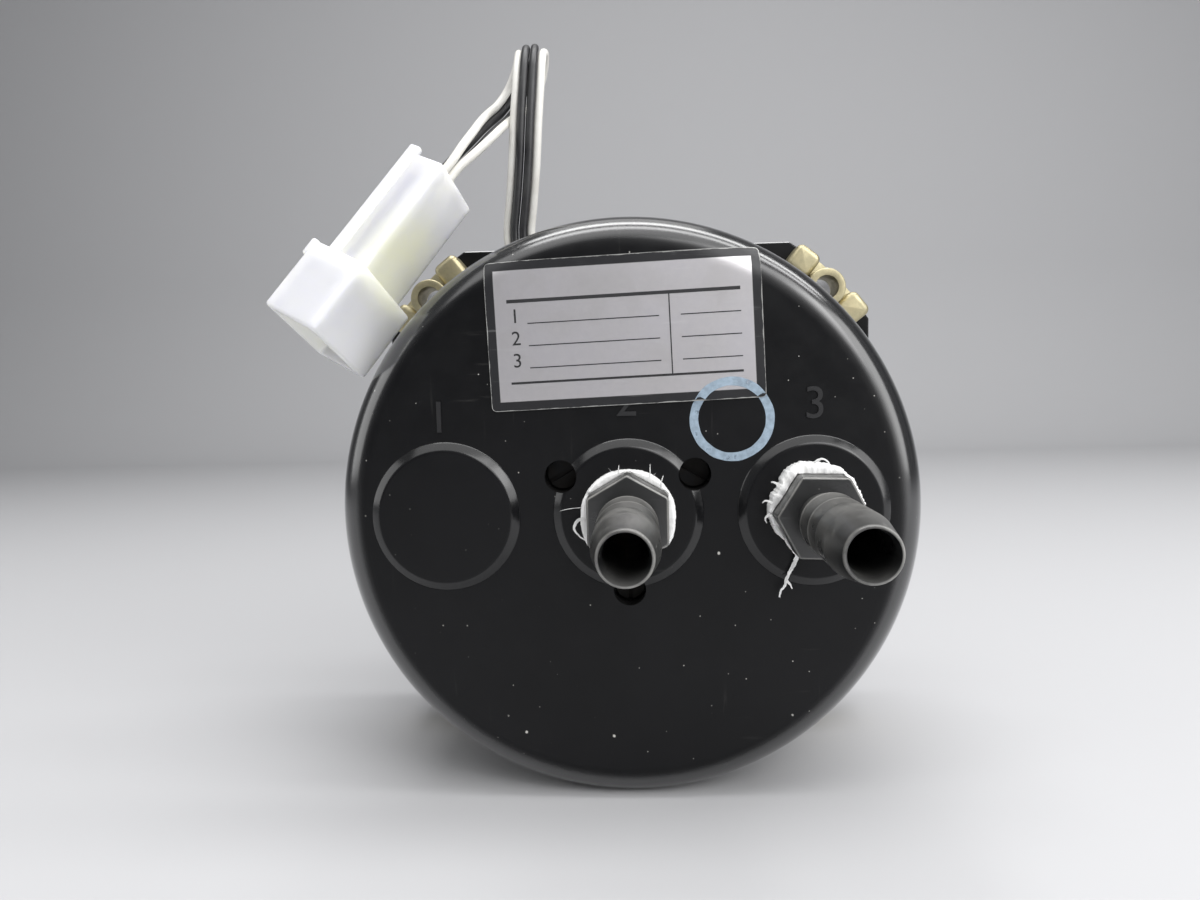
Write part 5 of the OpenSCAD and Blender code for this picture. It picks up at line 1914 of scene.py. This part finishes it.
@dataclass
class FrontPanel:
    """Bezel, glass, dial with its scale, and the pointer."""

    finish: Finishes
    window_r: float = 34.4
    collar_r: float = 38.8
    seat_r: float = 36.4
    collar_y: float = -6.0
    bezel_t: float = 1.2
    skirt: float = 1.0
    glass_end: float = -2.5
    dial_y: float = 4.0
    travel: float = 320.0
    top_value: int = 200
    number_r: float = 24.3
    pointer_y: float = 1.4
    pointer_t: float = 0.5
    pointer_l: float = 27.0
    tail_l: float = 9.0
    pointer_w: float = 3.4
    hub_r: float = 2.0
    hub_end: float = 3.0
    ink: float = 0.03

    def build(self, ring: bpy.types.NodeTree) -> None:
        """Makes and dresses the front.

        Args:
            ring: the tree that sets copies round the axis.
        """
        self._bezel()
        self._glass()
        self._scale(ring)
        self._pointer()

    def _bezel(self) -> None:
        """Bezel ring with eased edges."""
        front = self.collar_y - self.bezel_t
        low = self.collar_y + self.skirt
        line = [(self.window_r, low - 0.3), (self.window_r, front), (self.collar_r, front),
                (self.collar_r, self.collar_y), (self.seat_r, self.collar_y), (self.seat_r, low),
                (self.window_r, low)]
        bezel = as_object(turned(softened(line, 0.35, 4)[:-1], segments=200), "bezel")
        dress(bezel, self.finish["bezel_black"], "bezel_black", "bezel_ring")

    def _glass(self) -> None:
        """Cover glass with eased edges."""
        low = self.collar_y + self.skirt
        line = [(0.0, low), (self.seat_r, low), (self.seat_r, self.glass_end), (0.0, self.glass_end)]
        glass = as_object(turned(softened(line, 0.3, 3), segments=200, closed=False), "glass")
        dress(glass, self.finish["clear_glass"], "clear_glass", "cover_glass")

    def _scale(self, ring: bpy.types.NodeTree) -> None:
        """Ticks, numbers and coloured arcs on the dial."""
        white = self.finish["dial_white"]
        ticks = []
        for count, step, width, length, inner in ((21, 10, 0.7, 3.6, 28.6), (41, 5, 0.4, 2.2, 30.0)):
            bar = as_object(box_mesh((-width / 2, self.dial_y - self.ink, inner),
                                     (width / 2, self.dial_y, inner + length)), "bar")
            made = grown("ticks", ring, bar.data.copy(), Count=count, Start=0.0,
                         Step=math.radians(self.travel * step / self.top_value), Material=white)
            bpy.data.objects.remove(bar)
            ticks.append(taken(made))
        for value in range(0, self.top_value + 1, 20):
            turn = math.radians(self.travel * value / self.top_value)
            x, z = self.number_r * math.sin(turn), self.number_r * math.cos(turn)
            place = facing_front(x, self.dial_y - self.ink / 2, z)
            ticks.append(words(str(value), 4.6, self.ink / 2, place, "value"))
        dress(as_object(merge_meshes(ticks), "dial_scale", 60.0), white, "pointer_white")
        self._band("dial_white_arc", (40, 100), (26.9, 27.7), "dial_white")
        self._band("dial_green_arc", (55, 130), (27.7, 28.5), "dial_green")
        self._band("dial_yellow_arc", (130, 165), (27.7, 28.5), "dial_yellow")
        self._band("dial_red_line", (164.6, 166.2), (26.6, 32.2), "dial_red")

    def _band(self, name: str, values: Point2, radii: Point2, slot: str) -> None:
        """Coloured band between two values on the scale."""
        span = [90.0 - self.travel * value / self.top_value for value in values]
        loop = arc((0.0, 0.0), radii[1], *span, 40) + arc((0.0, 0.0), radii[0], *span, 40)[::-1]
        band = flat_plate([loop], self.dial_y - self.ink * 1.4, self.dial_y, name)
        dress(band, self.finish[slot], "pointer_white")

    def _pointer(self) -> None:
        """Pointer with a tapered blade, round tail and domed hub."""
        half = self.pointer_w / 2
        tail = arc((0.0, -self.tail_l), half + 0.4, 55.0, -235.0, 40)
        blade = [(-half, 0.0), (-half, 0.55 * self.pointer_l), (-0.4, self.pointer_l), (0.4, self.pointer_l),
                 (half, 0.55 * self.pointer_l), (half, 0.0)]
        end = self.pointer_y + self.pointer_t
        arm = flat_plate([[*blade, *tail]], self.pointer_y, end, "pointer_arm", 0.08)
        low, high = self.pointer_y - 0.02, self.hub_end
        hub = softened([(0.0, low), (self.hub_r, low), (self.hub_r, high), (0.0, high)], 0.3, 3)
        combined(arm, [as_object(turned(hub, segments=64, closed=False), "hub")], "UNION")
        evened(arm)
        dress(arm, self.finish["pointer_white"], "pointer_white", "pointer", body="pointer_staff")


def dress_movement(frame: dict[str, Any], finish: Finishes) -> None:
    """Gives every CAD node the finish of its slot.

    Args:
        finish: materials by slot.
    """
    for item in frame["record"]["subparts"]:
        target = frame["nodes"][item["node"]]
        material = finish[item["material_slot"]]
        if not target.material_slots:
            target.data.materials.append(material)
        for place in target.material_slots:
            place.material = material
        LOG.info("finish %s on %s", item["material_slot"], item["node"])


def build_finishes(groups: SharedGroups) -> Finishes:
    """Makes all materials.

    Args:
        groups: the shared shader groups.

    Returns:
        Materials by slot.
    """
    table = {
        "case_black": MouldedFinish("case moulding", (0.0035, 0.0036, 0.0042), (0.006, 0.006, 0.007), 0.34,
                                    dust=0.14, settled=0.015, relief_mm=0.003, polish=0.17, gloss=0.22,
                                    coat=(0.4, 1.0)),
        # The numbers are painted lighter than the case: partly rubbed wear, partly painted highlight for the
        # light their edges catch.
        "number_tops": MouldedFinish("numbers, wear and painted highlight", (0.013, 0.013, 0.014), (0.024, 0.024, 0.026), 0.4,
                                     dust=0.02),
        "bezel_black": PaintFinish("bezel paint", (0.018, 0.018, 0.019), 0.5),
        "clear_glass": ClearFinish("cover glass", (0.96, 0.98, 0.98), 1.5, 0.01),
        "clear_acrylic": ClearFinish("light ring acrylic", (0.93, 0.96, 0.97), 1.49, 0.08),
        "black_rubber": MouldedFinish("rubber", (0.014, 0.014, 0.014), (0.025, 0.025, 0.025), 0.6,
                                      scuffs=0.3),
        "board_green": PaintFinish("lamp board lacquer", (0.025, 0.14, 0.055), 0.35),
        "lamp_glass": ClearFinish("lamp envelope", (1.0, 0.93, 0.78), 1.5, 0.05),
        "dial_black": PaintFinish("dial paint", (0.012, 0.012, 0.013), 0.62),
        "pointer_white": PaintFinish("pointer paint", (0.82, 0.82, 0.78), 0.5),
        "gear_brass": MetalFinish("machined brass", (0.78, 0.58, 0.24), (0.5, 0.36, 0.15), 0.26),
        "nut_brass": MetalFinish("nut plating", (0.52, 0.46, 0.29), (0.36, 0.33, 0.22), 0.38, tarnish=0.9),
        "bright_steel": MetalFinish("machined steel", (0.6, 0.61, 0.63), (0.42, 0.42, 0.43), 0.24),
        "black_steel": MetalFinish("blacked steel", (0.022, 0.022, 0.023), (0.05, 0.045, 0.04), 0.5),
        "plate_alloy": MetalFinish("satin alloy", (0.66, 0.67, 0.69), (0.5, 0.5, 0.51), 0.34,
                                   Direction.ALONG_X),
        "capsule_bronze": MetalFinish("capsule sheet", (0.68, 0.42, 0.2), (0.45, 0.26, 0.12), 0.28),
        "jewel_red": PaintFinish("jewel", (0.42, 0.02, 0.06), 0.12, dust=0.0),
        # The fitting's crests, hexagon edge and lip are painted lighter: partly wear, partly painted
        # highlight.
        "fitting_nylon": MouldedFinish("fitting moulding", (0.009, 0.0095, 0.01), (0.024, 0.024, 0.024), 0.3,
                                       dust=0.12, scuffs=1.0, settled=0.1, gloss=0.8, edge_wear=0.42),
        "thread_tape": FilmFinish("sealing tape", (0.94, 0.94, 0.93), (0.8, 0.79, 0.76)),
        "label_foil": FoilFinish("data foil", 36.0, 19.5),
        "print_black": PaintFinish("plate print", (0.014, 0.014, 0.016), 0.55, dust=0.0),
        "stamp_ink": InkFinish("stamp ink", (0.36, 0.46, 0.56)),
        "lead_white": JacketFinish("white jacket", (0.78, 0.77, 0.73), (0.55, 0.53, 0.48), 0.38),
        "lead_black": JacketFinish("black jacket", (0.014, 0.014, 0.016), (0.06, 0.06, 0.06), 0.34),
        # The plug nylon's second colour is a painted glow, warmer near one place where light shines through
        # the nylon.
        "connector_nylon": NylonFinish("plug nylon", (0.86, 0.865, 0.83), (0.94, 0.955, 0.6), 0.34, 8.0,
                                       (29.5, 30.0, 34.0), 12.0),
        "contact_tin": MetalFinish("tinned contact", (0.62, 0.55, 0.4), (0.42, 0.37, 0.27), 0.3),
        "dial_white": PaintFinish("dial print", (0.84, 0.84, 0.81), 0.6),
        "dial_green": PaintFinish("green band", (0.03, 0.32, 0.08), 0.6),
        "dial_yellow": PaintFinish("yellow band", (0.75, 0.52, 0.03), 0.6),
        "dial_red": PaintFinish("red line", (0.55, 0.02, 0.02), 0.6),
    }
    return {slot: finish.build(groups) for slot, finish in table.items()}


def tape_wraps(finish: Finishes) -> list[TapeWrap]:
    """Describes the tape at the two ports."""
    side_edge = [(-60.0, 5.4, 38.4), (-20.0, 5.9, 38.8), (4.0, 6.35, 39.4), (32.0, 6.35, 39.9),
                 (56.0, 6.75, 39.8), (76.0, 6.95, 39.5), (98.0, 6.45, 39.3), (122.0, 6.55, 39.0),
                 (150.0, 6.0, 38.8), (176.0, 6.2, 38.6), (205.0, 5.5, 38.4)]
    side_strands = [
        ([(6.1, 38.9, 0.3), (5.5, 38.7, -0.9), (4.72, 38.3, -2.2), (3.44, 37.9, -4.2), (2.6, 37.7, -5.4),
          (2.8, 37.5, -6.5), (3.4, 37.4, -7.7), (3.9, 37.3, -8.8), (4.1, 37.3, -9.7), (4.65, 37.3, -10.4),
          (4.8, 37.3, -11.2)], 0.85),
        ([(3.95, 37.4, -9.0), (3.4, 37.3, -9.5), (3.15, 37.3, -10.1)], 0.45),
        ([(2.7, 37.6, -5.2), (2.2, 37.5, -5.6), (1.75, 37.4, -5.9)], 0.22),
        ([(0.82, 39.1, 6.1), (0.44, 39.3, 6.75), (-0.45, 39.3, 7.1), (-1.2, 39.2, 6.6),
          (-1.45, 39.0, 5.9)], 0.4),
        ([(4.9, 39.6, 3.6), (5.6, 39.8, 4.2), (6.1, 39.6, 4.3)], 0.45),
        ([(5.9, 39.4, 1.5), (6.7, 39.5, 1.9), (7.2, 39.3, 1.6)], 0.4),
        ([(6.2, 39.1, 0.1), (6.8, 39.1, -0.4), (6.6, 38.9, -1.1)], 0.4),
    ]
    centre_edge = [(-75.0, 5.4, 38.4), (-36.0, 6.55, 38.6), (0.0, 6.2, 38.7), (30.0, 6.25, 38.7),
                   (60.0, 6.2, 38.7), (90.0, 6.05, 38.7), (120.0, 6.2, 38.7), (150.0, 6.25, 38.7),
                   (180.0, 6.2, 38.7), (214.0, 6.5, 38.6), (245.0, 5.4, 38.4)]
    centre_strands = [
        ([(1.06, 38.6, 5.6), (1.1, 38.8, 6.2), (1.04, 38.8, 6.75)], 0.2),
        ([(-2.9, 38.6, 4.9), (-2.95, 38.9, 5.9), (-2.97, 38.8, 6.8)], 0.18),
        ([(-4.3, 38.6, 3.8), (-4.4, 38.8, 4.6), (-4.65, 38.8, 5.3)], 0.2),
        ([(5.6, 38.6, -0.2), (6.5, 38.8, -0.35), (7.05, 38.9, -1.3), (6.5, 38.8, -2.3),
          (5.7, 38.6, -3.0)], 0.5),
        ([(6.2, 37.3, 1.1), (7.7, 37.1, 0.95), (9.0, 37.0, 0.66)], 0.07),
    ]
    side = TapeWrap(finish, "static_thread_tape", (-24.4, 0.0), 2.0, 11, side_edge, side_strands)
    centre = TapeWrap(finish, "pitot_thread_tape", (0.0, 0.0), 30.0, 23, centre_edge, centre_strands,
                      fray=0.1)
    return [side, centre]


def main() -> None:
    """Builds the studio and every sub-assembly."""
    logging.basicConfig(level=logging.INFO, format="%(name)s: %(message)s")
    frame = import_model()
    bpy.context.scene.view_settings.view_transform = "Standard"
    finish = build_finishes(SharedGroups.build())
    Studio().build()
    dress_movement(frame, finish)
    wiring = LeadSet(finish)
    leads = wiring.build()
    plug = PlugHousing(finish).build()
    shell = CaseShell(finish)
    shell.build()
    shell.numbers()
    LeadGrommet(finish).build()
    PortFitting(finish, "pitot_fitting", (0.0, 0.0), 30.0).build()
    PortFitting(finish, "static_fitting", (-24.4, 0.0), 2.0).build()
    fibres = fuzz_tree()
    for wrap in tape_wraps(finish):
        wrap.build(fibres)
    plate = DataPlate(finish)
    plate.build()
    plate.print_fields()
    InkRing(finish, plate).build()
    ring = ring_tree()
    PanelNuts(finish).build(ring)
    FrontPanel(finish).build(ring)


if __name__ == "__main__":
    main()
